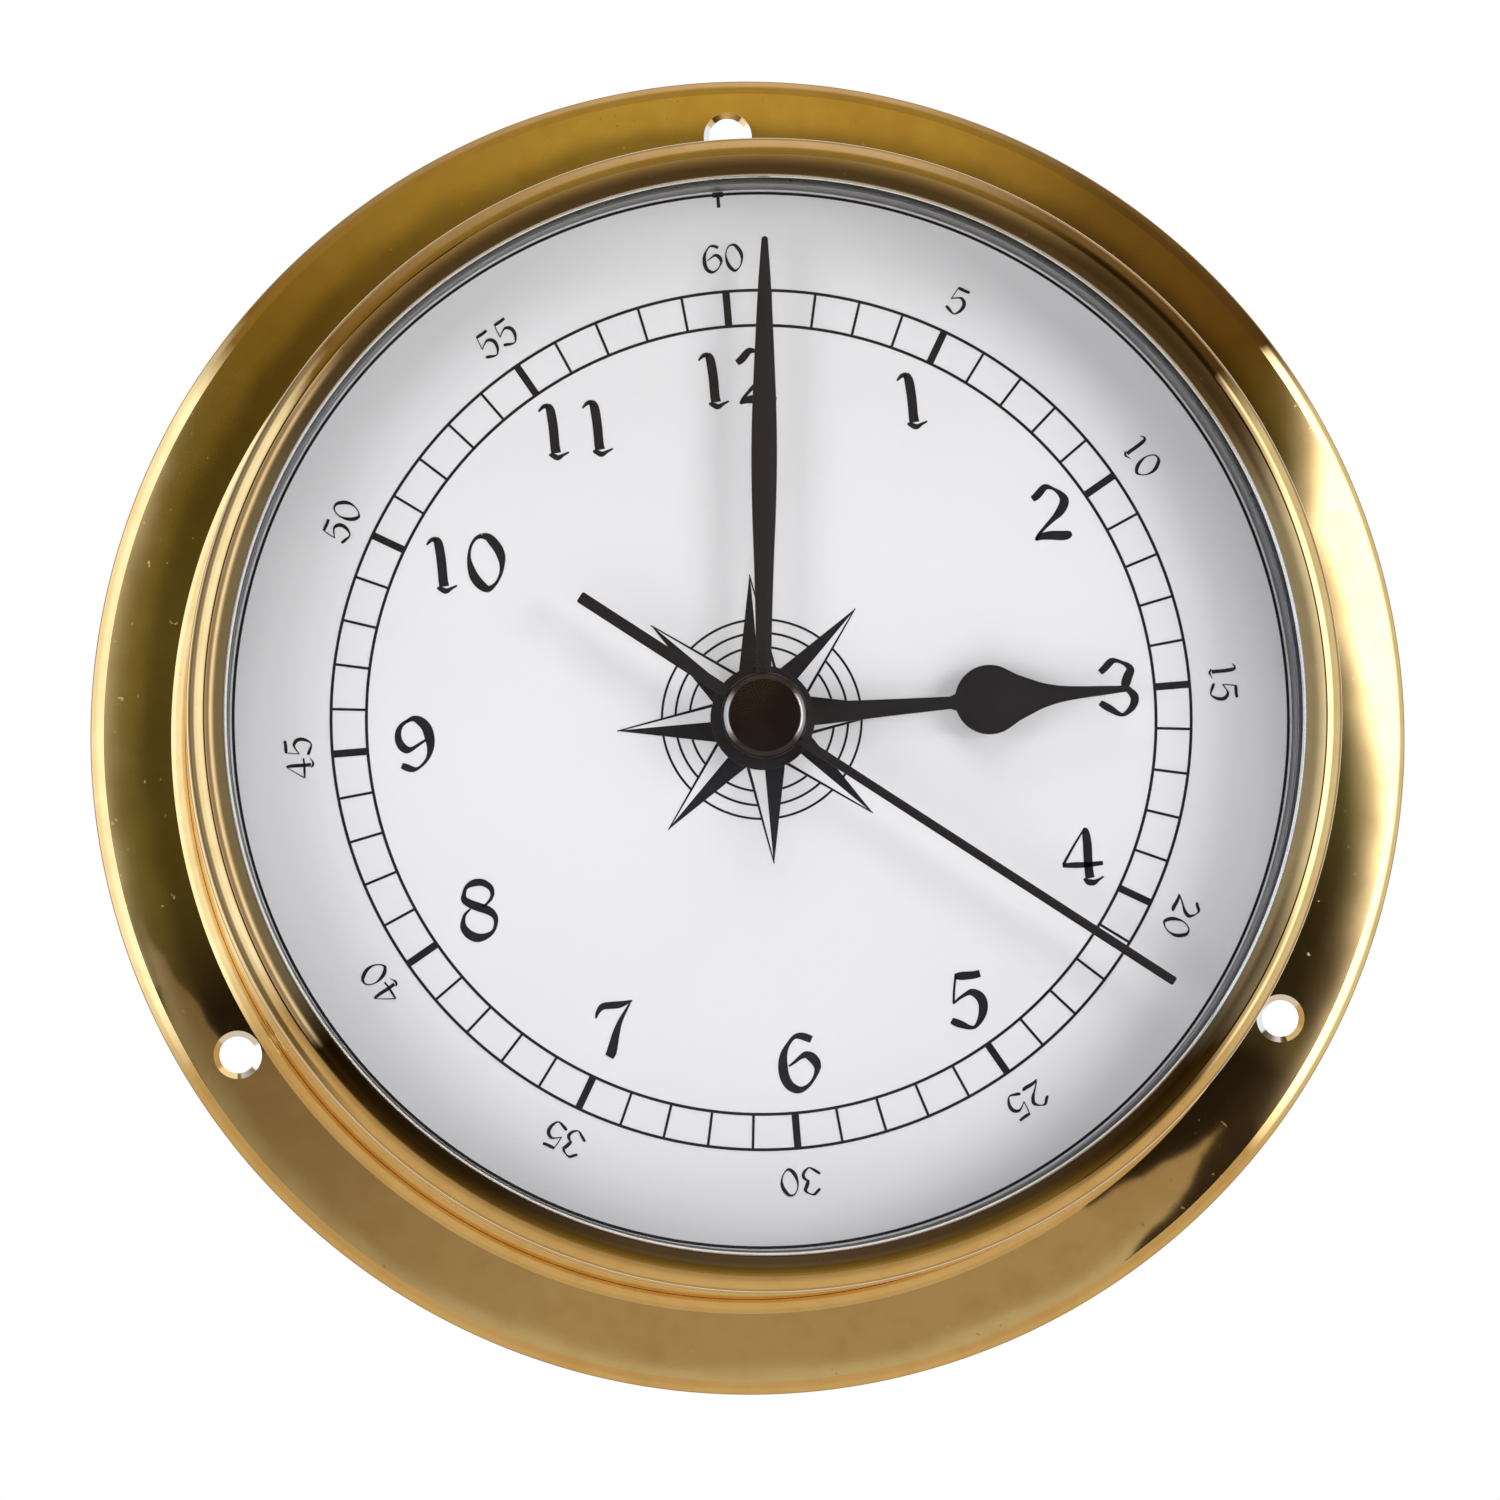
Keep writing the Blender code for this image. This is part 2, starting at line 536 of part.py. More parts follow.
def finish(name, recipe):
    colour, roughness, metallic, transmission = FINISHES[recipe]
    material = bpy.data.materials.new(name)
    material.use_nodes = True
    shader = material.node_tree.nodes["Principled BSDF"]
    shader.inputs["Base Color"].default_value = (*colour, 1.0)
    shader.inputs["Roughness"].default_value = roughness
    shader.inputs["Metallic"].default_value = metallic
    shader.inputs["Transmission Weight"].default_value = transmission
    return material


def add_piece(name, mesh, recipe, place=(0.0, 0.0, 0.0), turn=(0.0, 0.0, 0.0)):
    piece = bpy.data.objects.new(name, mesh)
    parts.objects.link(piece)
    piece.parent = upright
    piece.location = place
    piece.rotation_euler = turn
    mesh.materials.append(finish(name, recipe))
    return piece


def turn_profile(piece, steps=RING_STEPS):
    screw = piece.modifiers.new("Turn", "SCREW")
    screw.axis = "Z"
    screw.steps = steps
    screw.render_steps = steps
    screw.use_merge_vertices = True
    screw.merge_threshold = 1e-6
    return piece


def add_turned(name, profile, recipe, closed=True, steps=RING_STEPS, place=(0.0, 0.0, 0.0),
               turn=(0.0, 0.0, 0.0)):
    return turn_profile(add_piece(name, profile_mesh(name, profile, closed), recipe, place, turn), steps)


def combine(piece, mesh, operation, place=None):
    """Cut a shape out of a piece or join it to the piece. The shape shares the piece's place."""
    tool = bpy.data.objects.new(mesh.name, mesh)
    cutters.objects.link(tool)
    tool.parent = upright
    tool.location = piece.location if place is None else place
    tool.rotation_euler = piece.rotation_euler
    tool.hide_render = True
    tool.display_type = "WIRE"
    boolean = piece.modifiers.new(mesh.name, "BOOLEAN")
    boolean.operation = operation
    boolean.solver = "EXACT"
    boolean.object = tool
    return tool


def cut(piece, mesh, place=None):
    return combine(piece, mesh, "DIFFERENCE", place)


def join(piece, mesh, place=None):
    return combine(piece, mesh, "UNION", place)


def meeting_phase(phase, teeth, other_teeth, origin, other_origin):
    """Phase of the other gear that puts its gap where this gear has a tooth."""
    direction = math.atan2(other_origin[1] - origin[1], other_origin[0] - origin[0])
    share = (direction - phase) * teeth / (2 * math.pi)
    return direction + math.pi - (0.5 - share) * 2 * math.pi / other_teeth


def arbor_profile(back_wall, front_wall, front_pivot):
    """A plain arbor with a pivot at each end, from its front down to its back."""
    front_shoulder = front_wall - END_PLAY
    back_shoulder = back_wall + END_PLAY
    back_end = back_wall - PIVOT_LENGTH
    return [(0.0, front_wall + front_pivot), (PIVOT_RADIUS, front_wall + front_pivot),
            (PIVOT_RADIUS, front_shoulder), (ARBOR_RADIUS, front_shoulder),
            (ARBOR_RADIUS, back_shoulder), (PIVOT_RADIUS, back_shoulder),
            (PIVOT_RADIUS, back_end), (0.0, back_end)]


# Brass case
def case_body():
    profile = [(BORE_RADIUS, SPIGOT_FRONT), (SPIGOT_RADIUS, SPIGOT_FRONT), (SPIGOT_RADIUS, DRUM_FRONT)]
    profile += [(DRUM_TOP_RADIUS - DRUM_EDGE_ROUND, DRUM_FRONT),
                (DRUM_TOP_RADIUS, DRUM_FRONT - DRUM_EDGE_ROUND)]
    fillet_centre = (DRUM_RADIUS + FLANGE_FILLET, FLANGE_THICKNESS + FLANGE_FILLET)
    profile += arc(FLANGE_FILLET, 180.0, 270.0, 4, fillet_centre)
    round_centre = (FLANGE_RADIUS - FLANGE_FRONT_ROUND, FLANGE_THICKNESS - FLANGE_FRONT_ROUND)
    profile += arc(FLANGE_FRONT_ROUND, 90.0, 0.0, 4, round_centre)
    profile += [(FLANGE_RADIUS, FLANGE_BACK_ROUND), (FLANGE_RADIUS - FLANGE_BACK_ROUND, 0.0)]
    profile += [(BORE_RADIUS, 0.0), (BORE_RADIUS, LEDGE_BACK), (LEDGE_RADIUS, LEDGE_BACK),
                (LEDGE_RADIUS, LEDGE_FRONT), (BORE_RADIUS, LEDGE_FRONT)]
    case = add_turned("case_body", profile, "polished_brass")
    slope = (COUNTERSINK_RADIUS - HOLE_RADIUS) / COUNTERSINK_DEPTH
    for number, angle in enumerate(HOLE_ANGLES, start=1):
        place = (*around(HOLE_CIRCLE, angle), 0.0)
        cut(case, rod_mesh(f"flange_hole_{number}", HOLE_RADIUS, -OVERCUT, FLANGE_THICKNESS + OVERCUT), place)
        cut(case, cone_mesh(f"countersink_{number}", HOLE_RADIUS, COUNTERSINK_RADIUS + slope * OVERCUT,
                            FLANGE_THICKNESS - COUNTERSINK_DEPTH, FLANGE_THICKNESS + OVERCUT,
                            TUBE_STEPS), place)


def bezel_ring():
    lip_radius = INSERT_RADIUS - BEZEL_LIP
    crest_radius = SKIRT_RADIUS - BEZEL_SHOULDER
    slope_width = crest_radius - lip_radius - BEZEL_EDGE
    slope = []
    for share in (1.0, 0.72, 0.4):
        slope.append((crest_radius - slope_width * share, CREST - BEZEL_CREST * share ** 2))
    shoulder = arc(BEZEL_SHOULDER, 90.0, 0.0, 6, (crest_radius, CREST - BEZEL_SHOULDER))
    skirt_back = DRUM_FRONT + BEZEL_GROOVE
    profile = slope + shoulder + [(SKIRT_RADIUS, skirt_back), (SKIRT_BORE, skirt_back)]
    profile += [(SKIRT_BORE, LIP_BACK), (lip_radius, LIP_BACK), (lip_radius, LIP_FRONT - BEZEL_EDGE)]
    add_turned("bezel_ring", profile, "polished_brass")


# Glass, dial and the rings between them
def flat_ring(name, inner, outer, back, front, recipe, steps=RING_STEPS):
    profile = [(inner, front), (outer, front), (outer, back), (inner, back)]
    return add_turned(name, profile, recipe, steps=steps)


def glass_lens():
    edge = INSERT_RADIUS - GLASS_CHAMFER
    add_turned("glass_lens", [(0.0, GLASS_FRONT), (edge, GLASS_FRONT),
                              (INSERT_RADIUS, GLASS_FRONT - GLASS_CHAMFER),
                              (INSERT_RADIUS, GLASS_BACK + GLASS_CHAMFER), (edge, GLASS_BACK),
                              (0.0, GLASS_BACK)], "clear_glass", closed=False)


def dial_carrier():
    carrier = flat_ring("dial_carrier", CARRIER_INNER, INSERT_RADIUS, CARRIER_BACK, CARRIER_FRONT,
                        "black_plastic")
    boss_back = COVER_FRONT + FIT
    hole_front = COVER_RECESS + FIT / 2 + SCREW_LENGTH + SCREW_TIP_ROOM
    for number, angle in enumerate(SCREW_ANGLES, start=1):
        place = (*around(BOSS_CIRCLE, angle), 0.0)
        join(carrier, rod_mesh(f"screw_boss_{number}", BOSS_RADIUS, boss_back,
                               (CARRIER_BACK + CARRIER_FRONT) / 2), place)
        cut(carrier, rod_mesh(f"boss_hole_{number}", SCREW_HOLE_RADIUS, boss_back - OVERCUT,
                              hole_front, ARBOR_STEPS), place)


# Rear cover
def rear_cover():
    groove_middle = (COVER_RECESS + COVER_FRONT) / 2
    groove_half = SEAL_RADIUS + FIT
    web_radius = BOSS_CIRCLE - BOSS_RADIUS - BOSS_INSET
    edge = INSERT_RADIUS - COVER_EDGE_CHAMFER
    profile = [(0.0, COVER_RECESS + COVER_WEB), (web_radius, COVER_RECESS + COVER_WEB),
               (web_radius, COVER_FRONT), (INSERT_RADIUS, COVER_FRONT),
               (INSERT_RADIUS, groove_middle + groove_half),
               (SEAL_GROOVE_RADIUS, groove_middle + groove_half),
               (SEAL_GROOVE_RADIUS, groove_middle - groove_half),
               (INSERT_RADIUS, groove_middle - groove_half),
               (INSERT_RADIUS, COVER_RECESS + COVER_EDGE_CHAMFER), (edge, COVER_RECESS),
               (0.0, COVER_RECESS)]
    cover = add_turned("rear_cover", profile, "black_plastic", closed=False)
    seat = COVER_RECESS + FIT / 2 + SCREW_HEAD_HEIGHT + FIT / 2
    for number, angle in enumerate(SCREW_ANGLES, start=1):
        place = (*around(BOSS_CIRCLE, angle), 0.0)
        cut(cover, rod_mesh(f"counterbore_{number}", COUNTERBORE_RADIUS, COVER_RECESS - OVERCUT, seat), place)
        cut(cover, rod_mesh(f"cover_hole_{number}", SCREW_HOLE_RADIUS, COVER_RECESS - OVERCUT,
                            COVER_FRONT + OVERCUT, ARBOR_STEPS), place)
    seal_middle = (SEAL_GROOVE_RADIUS + BORE_RADIUS) / 2
    seal = list(reversed(arc(SEAL_RADIUS, 0.0, 300.0, 6, (seal_middle, groove_middle))))
    add_turned("rear_seal", seal, "black_rubber")


def cover_screws():
    head_back = COVER_RECESS + FIT / 2
    head_front = head_back + SCREW_HEAD_HEIGHT
    tip = head_back + SCREW_LENGTH
    profile = [(0.0, tip), (SCREW_RADIUS, tip), (SCREW_RADIUS, head_front),
               (SCREW_HEAD_RADIUS, head_front), (SCREW_HEAD_RADIUS, head_back), (0.0, head_back)]
    half_slot = SCREW_SLOT_WIDTH / 2
    slot_end = SCREW_HEAD_RADIUS + OVERCUT
    for number, angle in enumerate(SCREW_ANGLES, start=1):
        place = (*around(BOSS_CIRCLE, angle), 0.0)
        screw = add_turned(f"cover_screw_{number}", profile, "plated_steel", closed=False,
                           steps=ARBOR_STEPS, place=place)
        cut(screw, box_mesh(f"screw_slot_{number}", (-slot_end, -half_slot, head_back - OVERCUT),
                            (slot_end, half_slot, head_back + SCREW_SLOT_DEPTH)))


# Movement case
def movement_outline(inset):
    return rounded_rectangle(-OUTER_X + inset, OUTER_BOTTOM + inset, OUTER_X - inset, OUTER_TOP - inset,
                             SHELL_CORNER - inset)


def add_post(shell, name, radius, top, place):
    join(shell, rod_mesh(name, radius, FLOOR - SHELL_WALL / 2, top, ARBOR_STEPS), (*place, 0.0))


def movement_back_case():
    split = SPLIT - FIT / 2
    shell = add_piece("movement_back_case", plate_mesh("back_shell", [movement_outline(0.0)], MOVEMENT_BACK,
                                                       split), "black_plastic")
    cut(shell, plate_mesh("back_room", [movement_outline(SHELL_WALL)], FLOOR, split + OVERCUT))
    cut(shell, box_mesh("battery_bay", (-INNER_X, BAY_BOTTOM + SHELL_CORNER, MOVEMENT_BACK - OVERCUT),
                        (INNER_X, BAY_TOP, FLOOR + OVERCUT)))
    join(shell, box_mesh("back_partition", (-INNER_X - SHELL_WALL / 2, BAY_TOP, FLOOR - SHELL_WALL / 2),
                         (INNER_X + SHELL_WALL / 2, -GEAR_ROOM_BELOW, split - FIT)))
    for number, place in enumerate(BRIDGE_POSTS, start=1):
        add_post(shell, f"bridge_post_{number}", BRIDGE_POST_RADIUS, BRIDGE_BACK - FIT, place)
    for number, place in enumerate(board_post_places(), start=1):
        add_post(shell, f"board_post_{number}", BOARD_POST_RADIUS, FLOOR + BOARD_HEIGHT - FIT, place)
    for number, place in enumerate(stator_post_places(), start=1):
        add_post(shell, f"stator_post_{number}", STATOR_POST_RADIUS, STATOR_BACK - FIT, place)
    for name, place in (("seconds", CENTRE), ("third", THIRD), ("fifth", FIFTH), ("rotor", ROTOR)):
        cut(shell, rod_mesh(f"{name}_back_pivot_hole", PIVOT_HOLE, FLOOR - PIVOT_DEPTH, FLOOR + OVERCUT,
                            ARBOR_STEPS), (*place, 0.0))
    cut(shell, rod_mesh("knob_shaft_hole", KNOB_SHAFT_RADIUS + RUNNING_FIT, MOVEMENT_BACK - OVERCUT,
                        FLOOR + OVERCUT, ARBOR_STEPS), (*KNOB, 0.0))


def movement_front_case():
    split = SPLIT + FIT / 2
    shell = add_piece("movement_front_case", plate_mesh("front_shell", [movement_outline(0.0)], split,
                                                        MOVEMENT_FRONT), "black_plastic")
    cut(shell, plate_mesh("front_room", [movement_outline(SHELL_WALL)], split - OVERCUT, ROOF))
    join(shell, box_mesh("front_partition", (-INNER_X - SHELL_WALL / 2, BAY_TOP, split + FIT),
                         (INNER_X + SHELL_WALL / 2, -GEAR_ROOM_BELOW, ROOF + SHELL_WALL / 2)))
    join(shell, rod_mesh("centre_post", POST_RADIUS, ROOF + SHELL_WALL / 2, NUT_FRONT))
    cut(shell, rod_mesh("post_bore", POST_BORE, ROOF - OVERCUT, NUT_FRONT + OVERCUT))
    for name, place in (("third", THIRD), ("motion", MOTION), ("knob", KNOB)):
        cut(shell, rod_mesh(f"{name}_front_pivot_hole", PIVOT_HOLE, ROOF - OVERCUT, ROOF + PIVOT_DEPTH,
                            ARBOR_STEPS), (*place, 0.0))


def wheel_bridge():
    through = ARBOR_RADIUS + SIDE_FIT
    loops = [rounded_rectangle(BRIDGE_LEFT, BRIDGE_BOTTOM, BRIDGE_RIGHT, BRIDGE_TOP, BRIDGE_MARGIN),
             circle(through, ARBOR_STEPS, CENTRE), circle(through, ARBOR_STEPS, THIRD),
             circle(PIVOT_HOLE, ARBOR_STEPS, FIFTH), circle(PIVOT_HOLE, ARBOR_STEPS, ROTOR),
             circle(PIVOT_HOLE, ARBOR_STEPS, MOTION),
             circle(KNOB_SHAFT_RADIUS + SIDE_FIT, ARBOR_STEPS, KNOB)]
    add_piece("wheel_bridge", plate_mesh("wheel_bridge", loops, BRIDGE_BACK, BRIDGE_FRONT), "white_plastic")


def post_nut():
    nut = flat_ring("post_nut", NUT_BORE, NUT_RADIUS, NUT_BACK, NUT_FRONT, "plated_steel", TUBE_STEPS)
    half_slot = NUT_SLOT_WIDTH / 2
    end = NUT_RADIUS + OVERCUT
    cut(nut, box_mesh("nut_slot", (-end, -half_slot, NUT_FRONT - NUT_SLOT_DEPTH),
                      (end, half_slot, NUT_FRONT + OVERCUT)))


# Battery and its contacts
def battery():
    shoulder = BATTERY_LENGTH - BATTERY_NUB_HEIGHT
    edge = BATTERY_SIDE_ROOM / 2
    profile = [(0.0, BATTERY_LENGTH), (BATTERY_NUB_RADIUS, BATTERY_LENGTH), (BATTERY_NUB_RADIUS, shoulder),
               (BATTERY_RADIUS - edge, shoulder), (BATTERY_RADIUS, shoulder - edge),
               (BATTERY_RADIUS, edge), (BATTERY_RADIUS - edge, 0.0), (0.0, 0.0)]
    left_end = INNER_X - 2 * FIT - CONTACT_THICKNESS - BATTERY_LENGTH
    add_turned("battery", profile, "battery_label", closed=False, steps=TUBE_STEPS,
               place=(left_end, BATTERY_Y, BATTERY_Z), turn=(0.0, math.radians(90), 0.0))


def battery_contacts():
    positive_back = INNER_X - FIT - CONTACT_THICKNESS
    add_piece("battery_contact_positive",
              box_mesh("positive_plate", (positive_back, BATTERY_Y - CONTACT_WIDTH / 2,
                                          BATTERY_Z - CONTACT_HEIGHT / 2),
                       (positive_back + CONTACT_THICKNESS, BATTERY_Y + CONTACT_WIDTH / 2,
                        BATTERY_Z + CONTACT_HEIGHT / 2)), "plated_steel")
    points = round(10 * SPRING_TURNS)
    start = CONTACT_THICKNESS / 2
    rise = CONTACT_THICKNESS + SPRING_LENGTH - SPRING_WIRE_RADIUS - FIT - start
    curve = bpy.data.curves.new("spring_wire", "CURVE")
    curve.dimensions = "3D"
    curve.bevel_depth = SPRING_WIRE_RADIUS
    curve.bevel_resolution = 1
    curve.use_fill_caps = True
    spline = curve.splines.new("POLY")
    spline.points.add(points)
    for index, point in enumerate(spline.points):
        share = index / points
        angle = 2 * math.pi * SPRING_TURNS * share
        radius = SPRING_RADIUS + (SPRING_END_RADIUS - SPRING_RADIUS) * share
        point.co = (radius * math.cos(angle), radius * math.sin(angle), start + rise * share, 1.0)
    spring = add_piece("battery_spring_negative", mesh_from_curve("spring_wire", curve), "plated_steel",
                       (FIT - INNER_X, BATTERY_Y, BATTERY_Z), (0.0, math.radians(90), 0.0))
    join(spring, box_mesh("negative_plate", (-CONTACT_HEIGHT / 2, -CONTACT_WIDTH / 2, 0.0),
                          (CONTACT_HEIGHT / 2, CONTACT_WIDTH / 2, CONTACT_THICKNESS)))


# Circuit board
BOARD_BACK = FLOOR + BOARD_HEIGHT
BOARD_FRONT = BOARD_BACK + BOARD_THICKNESS


def board_post_places():
    x = BOARD_LEFT + BOARD_POST_INSET
    return [(x, BOARD_TOP - BOARD_POST_INSET), (x, BOARD_BOTTOM + BOARD_POST_INSET)]


def circuit_board():
    board = add_piece("circuit_board", box_mesh("board", (BOARD_LEFT, BOARD_BOTTOM, BOARD_BACK),
                                                (BOARD_RIGHT, BOARD_TOP, BOARD_FRONT)), "circuit_green")
    middle_x = (BOARD_LEFT + BOARD_RIGHT) / 2
    middle_y = (BOARD_BOTTOM + BOARD_TOP) / 2
    join(board, box_mesh("chip", (middle_x - CHIP_SIZE / 2, middle_y - CHIP_SIZE / 2, BOARD_BACK + FIT),
                         (middle_x + CHIP_SIZE / 2, middle_y + CHIP_SIZE / 2, BOARD_FRONT + CHIP_HEIGHT)))
    crystal_y = middle_y + CHIP_SIZE
    add_turned("quartz_crystal", [(0.0, CRYSTAL_LENGTH), (CRYSTAL_RADIUS, CRYSTAL_LENGTH),
                                  (CRYSTAL_RADIUS, 0.0), (0.0, 0.0)], "plated_steel", closed=False,
               steps=ARBOR_STEPS, place=(middle_x, crystal_y, BOARD_FRONT + FIT + CRYSTAL_RADIUS),
               turn=(math.radians(-90), 0.0, 0.0))


# Stepping motor
MAGNET_BACK = layer(SECONDS_LAYER) - PINION_MARGIN
STATOR_MIDDLE = MAGNET_BACK + MAGNET_LENGTH / 2
STATOR_BACK = STATOR_MIDDLE - STATOR_THICKNESS / 2
STATOR_FRONT = STATOR_BACK + STATOR_THICKNESS
STATOR_TOP = GEAR_ROOM_ABOVE - STATOR_EDGE_ROOM
STATOR_END_X = CORE_X + STATOR_ARM_WIDTH / 2
LOWER_ARM_TOP = ROTOR[1] + STATOR_RADIUS - FIT
CORE_BOTTOM = LOWER_ARM_TOP - CORE_OVERLAP
CORE_TOP = STATOR_TOP - STATOR_ARM_WIDTH + CORE_OVERLAP
CORE_BACK = STATOR_FRONT + FIT
CORE_MIDDLE = CORE_BACK + CORE_WIDTH / 2


def stator_post_places():
    upper = (ROTOR[0], STATOR_TOP - STATOR_ARM_WIDTH / 2)
    lower = (CORE_X, LOWER_ARM_TOP - STATOR_ARM_WIDTH / 2)
    return [upper, lower]


def stator():
    """A flat ring round the rotor with two arms that reach the ends of the coil's core."""
    half = STATOR_ARM_WIDTH / 2
    arm_side = math.degrees(math.asin(half / STATOR_RADIUS))
    arm_foot = LOWER_ARM_TOP - STATOR_ARM_WIDTH
    low_angle = math.degrees(math.asin((arm_foot - ROTOR[1]) / STATOR_RADIUS))
    high_angle = math.degrees(math.asin((LOWER_ARM_TOP - ROTOR[1]) / STATOR_RADIUS))
    outline = [(ROTOR[0] + half, STATOR_TOP - STATOR_ARM_WIDTH), (STATOR_END_X, STATOR_TOP - STATOR_ARM_WIDTH),
               (STATOR_END_X, STATOR_TOP), (ROTOR[0] - half, STATOR_TOP)]
    outline += arc(STATOR_RADIUS, 90.0 + arm_side, 360.0 + low_angle, 14, ROTOR)
    outline += [(STATOR_END_X, arm_foot), (STATOR_END_X, LOWER_ARM_TOP)]
    if high_angle < 90.0 - arm_side:
        outline += arc(STATOR_RADIUS, high_angle, 90.0 - arm_side, 3, ROTOR)
    else:
        outline.append((ROTOR[0] + half, LOWER_ARM_TOP))
    loops = [outline, circle(STATOR_BORE, TUBE_STEPS, ROTOR)]
    add_piece("stator", plate_mesh("stator", loops, STATOR_BACK, STATOR_FRONT), "plated_steel")


def coil():
    half = CORE_WIDTH / 2
    add_piece("coil_core", box_mesh("coil_core", (CORE_X - half, CORE_BOTTOM, CORE_BACK),
                                    (CORE_X + half, CORE_TOP, CORE_BACK + CORE_WIDTH)), "plated_steel")
    bore = half * math.sqrt(2) + BOBBIN_WALL
    start = LOWER_ARM_TOP + COIL_ARM_ROOM
    length = STATOR_TOP - STATOR_ARM_WIDTH - COIL_ARM_ROOM - start
    upper = length - COIL_FLANGE_THICKNESS
    profile = [(bore, length), (COIL_FLANGE_RADIUS, length), (COIL_FLANGE_RADIUS, upper),
               (COIL_RADIUS, upper), (COIL_RADIUS, COIL_FLANGE_THICKNESS),
               (COIL_FLANGE_RADIUS, COIL_FLANGE_THICKNESS), (COIL_FLANGE_RADIUS, 0.0), (bore, 0.0)]
    add_turned("coil_winding", profile, "copper_wire", steps=TUBE_STEPS,
               place=(CORE_X, start, CORE_MIDDLE), turn=(math.radians(-90), 0.0, 0.0))


# Gear train, from the rotor to the hour wheel
def gear_train():
    rotor_phase = meeting_phase(0.0, FIFTH_TEETH, ROTOR_PINION_TEETH, FIFTH, ROTOR)
    rotor = add_turned("rotor", arbor_profile(FLOOR, BRIDGE_BACK, BRIDGE_PIVOT_LENGTH), "white_plastic",
                       closed=False, steps=ARBOR_STEPS, place=(*ROTOR, 0.0))
    join(rotor, pinion_mesh("rotor_pinion", ROTOR_PINION_TEETH, ROTOR_MODULE, FIFTH_LAYER, rotor_phase))
    join(rotor, rod_mesh("rotor_magnet", MAGNET_RADIUS, MAGNET_BACK, MAGNET_BACK + MAGNET_LENGTH))

    fifth_phase = meeting_phase(0.0, SECONDS_TEETH, FIFTH_PINION_TEETH, CENTRE, FIFTH)
    fifth = add_turned("fifth_wheel", arbor_profile(FLOOR, BRIDGE_BACK, BRIDGE_PIVOT_LENGTH),
                       "white_plastic", closed=False, steps=ARBOR_STEPS, place=(*FIFTH, 0.0))
    join(fifth, wheel_mesh("fifth_teeth", FIFTH_TEETH, ROTOR_MODULE, FIFTH_LAYER, 0.0))
    join(fifth, pinion_mesh("fifth_pinion", FIFTH_PINION_TEETH, FIFTH_MODULE, SECONDS_LAYER, fifth_phase))

    back_end = FLOOR - PIVOT_LENGTH
    shoulder = FLOOR + END_PLAY
    seconds = add_turned("seconds_wheel", [(0.0, SECONDS_HAND_FRONT), (ARBOR_RADIUS, SECONDS_HAND_FRONT),
                                           (ARBOR_RADIUS, shoulder), (PIVOT_RADIUS, shoulder),
                                           (PIVOT_RADIUS, back_end), (0.0, back_end)],
                         "plated_steel", closed=False, steps=ARBOR_STEPS)
    join(seconds, wheel_mesh("seconds_teeth", SECONDS_TEETH, FIFTH_MODULE, SECONDS_LAYER, 0.0))
    join(seconds, pinion_mesh("seconds_pinion", SECONDS_PINION_TEETH, THIRD_MODULE, THIRD_LAYER, 0.0))

    third_phase = meeting_phase(0.0, SECONDS_PINION_TEETH, THIRD_TEETH, CENTRE, THIRD)
    third_pinion_phase = meeting_phase(0.0, MINUTE_TEETH, THIRD_PINION_TEETH, CENTRE, THIRD)
    third = add_turned("third_wheel", arbor_profile(FLOOR, ROOF, PIVOT_LENGTH), "white_plastic",
                       closed=False, steps=ARBOR_STEPS, place=(*THIRD, 0.0))
    join(third, wheel_mesh("third_teeth", THIRD_TEETH, THIRD_MODULE, THIRD_LAYER, third_phase))
    join(third, pinion_mesh("third_pinion", THIRD_PINION_TEETH, MINUTE_MODULE, MINUTE_LAYER,
                            third_pinion_phase))

    tube_back = BRIDGE_FRONT + FIT
    tube_front = MINUTE_HAND_FRONT + TUBE_STAND
    minute = add_piece("minute_wheel", rod_mesh("minute_tube", MINUTE_TUBE, tube_back, tube_front),
                       "plated_steel")
    join(minute, wheel_mesh("minute_teeth", MINUTE_TEETH, MINUTE_MODULE, MINUTE_LAYER, 0.0))
    join(minute, pinion_mesh("cannon_pinion", CANNON_TEETH, MOTION_MODULE, MOTION_LAYER, 0.0))
    cut(minute, rod_mesh("minute_bore", SECONDS_BORE, tube_back - OVERCUT, tube_front + OVERCUT, ARBOR_STEPS))

    motion_phase = meeting_phase(0.0, CANNON_TEETH, MOTION_TEETH, CENTRE, MOTION)
    motion_pinion_phase = meeting_phase(0.0, HOUR_TEETH, MOTION_PINION_TEETH, CENTRE, MOTION)
    motion_profile = arbor_profile(BRIDGE_FRONT, ROOF, PIVOT_LENGTH)
    motion_profile[-2] = (PIVOT_RADIUS, BRIDGE_FRONT - BRIDGE_PIVOT_LENGTH)
    motion_profile[-1] = (0.0, BRIDGE_FRONT - BRIDGE_PIVOT_LENGTH)
    motion = add_turned("motion_wheel", motion_profile, "white_plastic", closed=False,
                        steps=ARBOR_STEPS, place=(*MOTION, 0.0))
    join(motion, wheel_mesh("motion_teeth", MOTION_TEETH, MOTION_MODULE, MOTION_LAYER, motion_phase))
    join(motion, pinion_mesh("motion_pinion", MOTION_PINION_TEETH, HOUR_MODULE, HOUR_LAYER,
                             motion_pinion_phase))

    hour_back = layer(HOUR_LAYER) - PINION_MARGIN
    hour_front = HOUR_HAND_FRONT + TUBE_STAND
    hour = add_piece("hour_wheel", rod_mesh("hour_tube", HOUR_TUBE, hour_back, hour_front), "white_plastic")
    join(hour, wheel_mesh("hour_teeth", HOUR_TEETH, HOUR_MODULE, HOUR_LAYER, 0.0))
    cut(hour, rod_mesh("hour_bore", MINUTE_BORE, hour_back - OVERCUT, hour_front + OVERCUT))
    return motion_phase


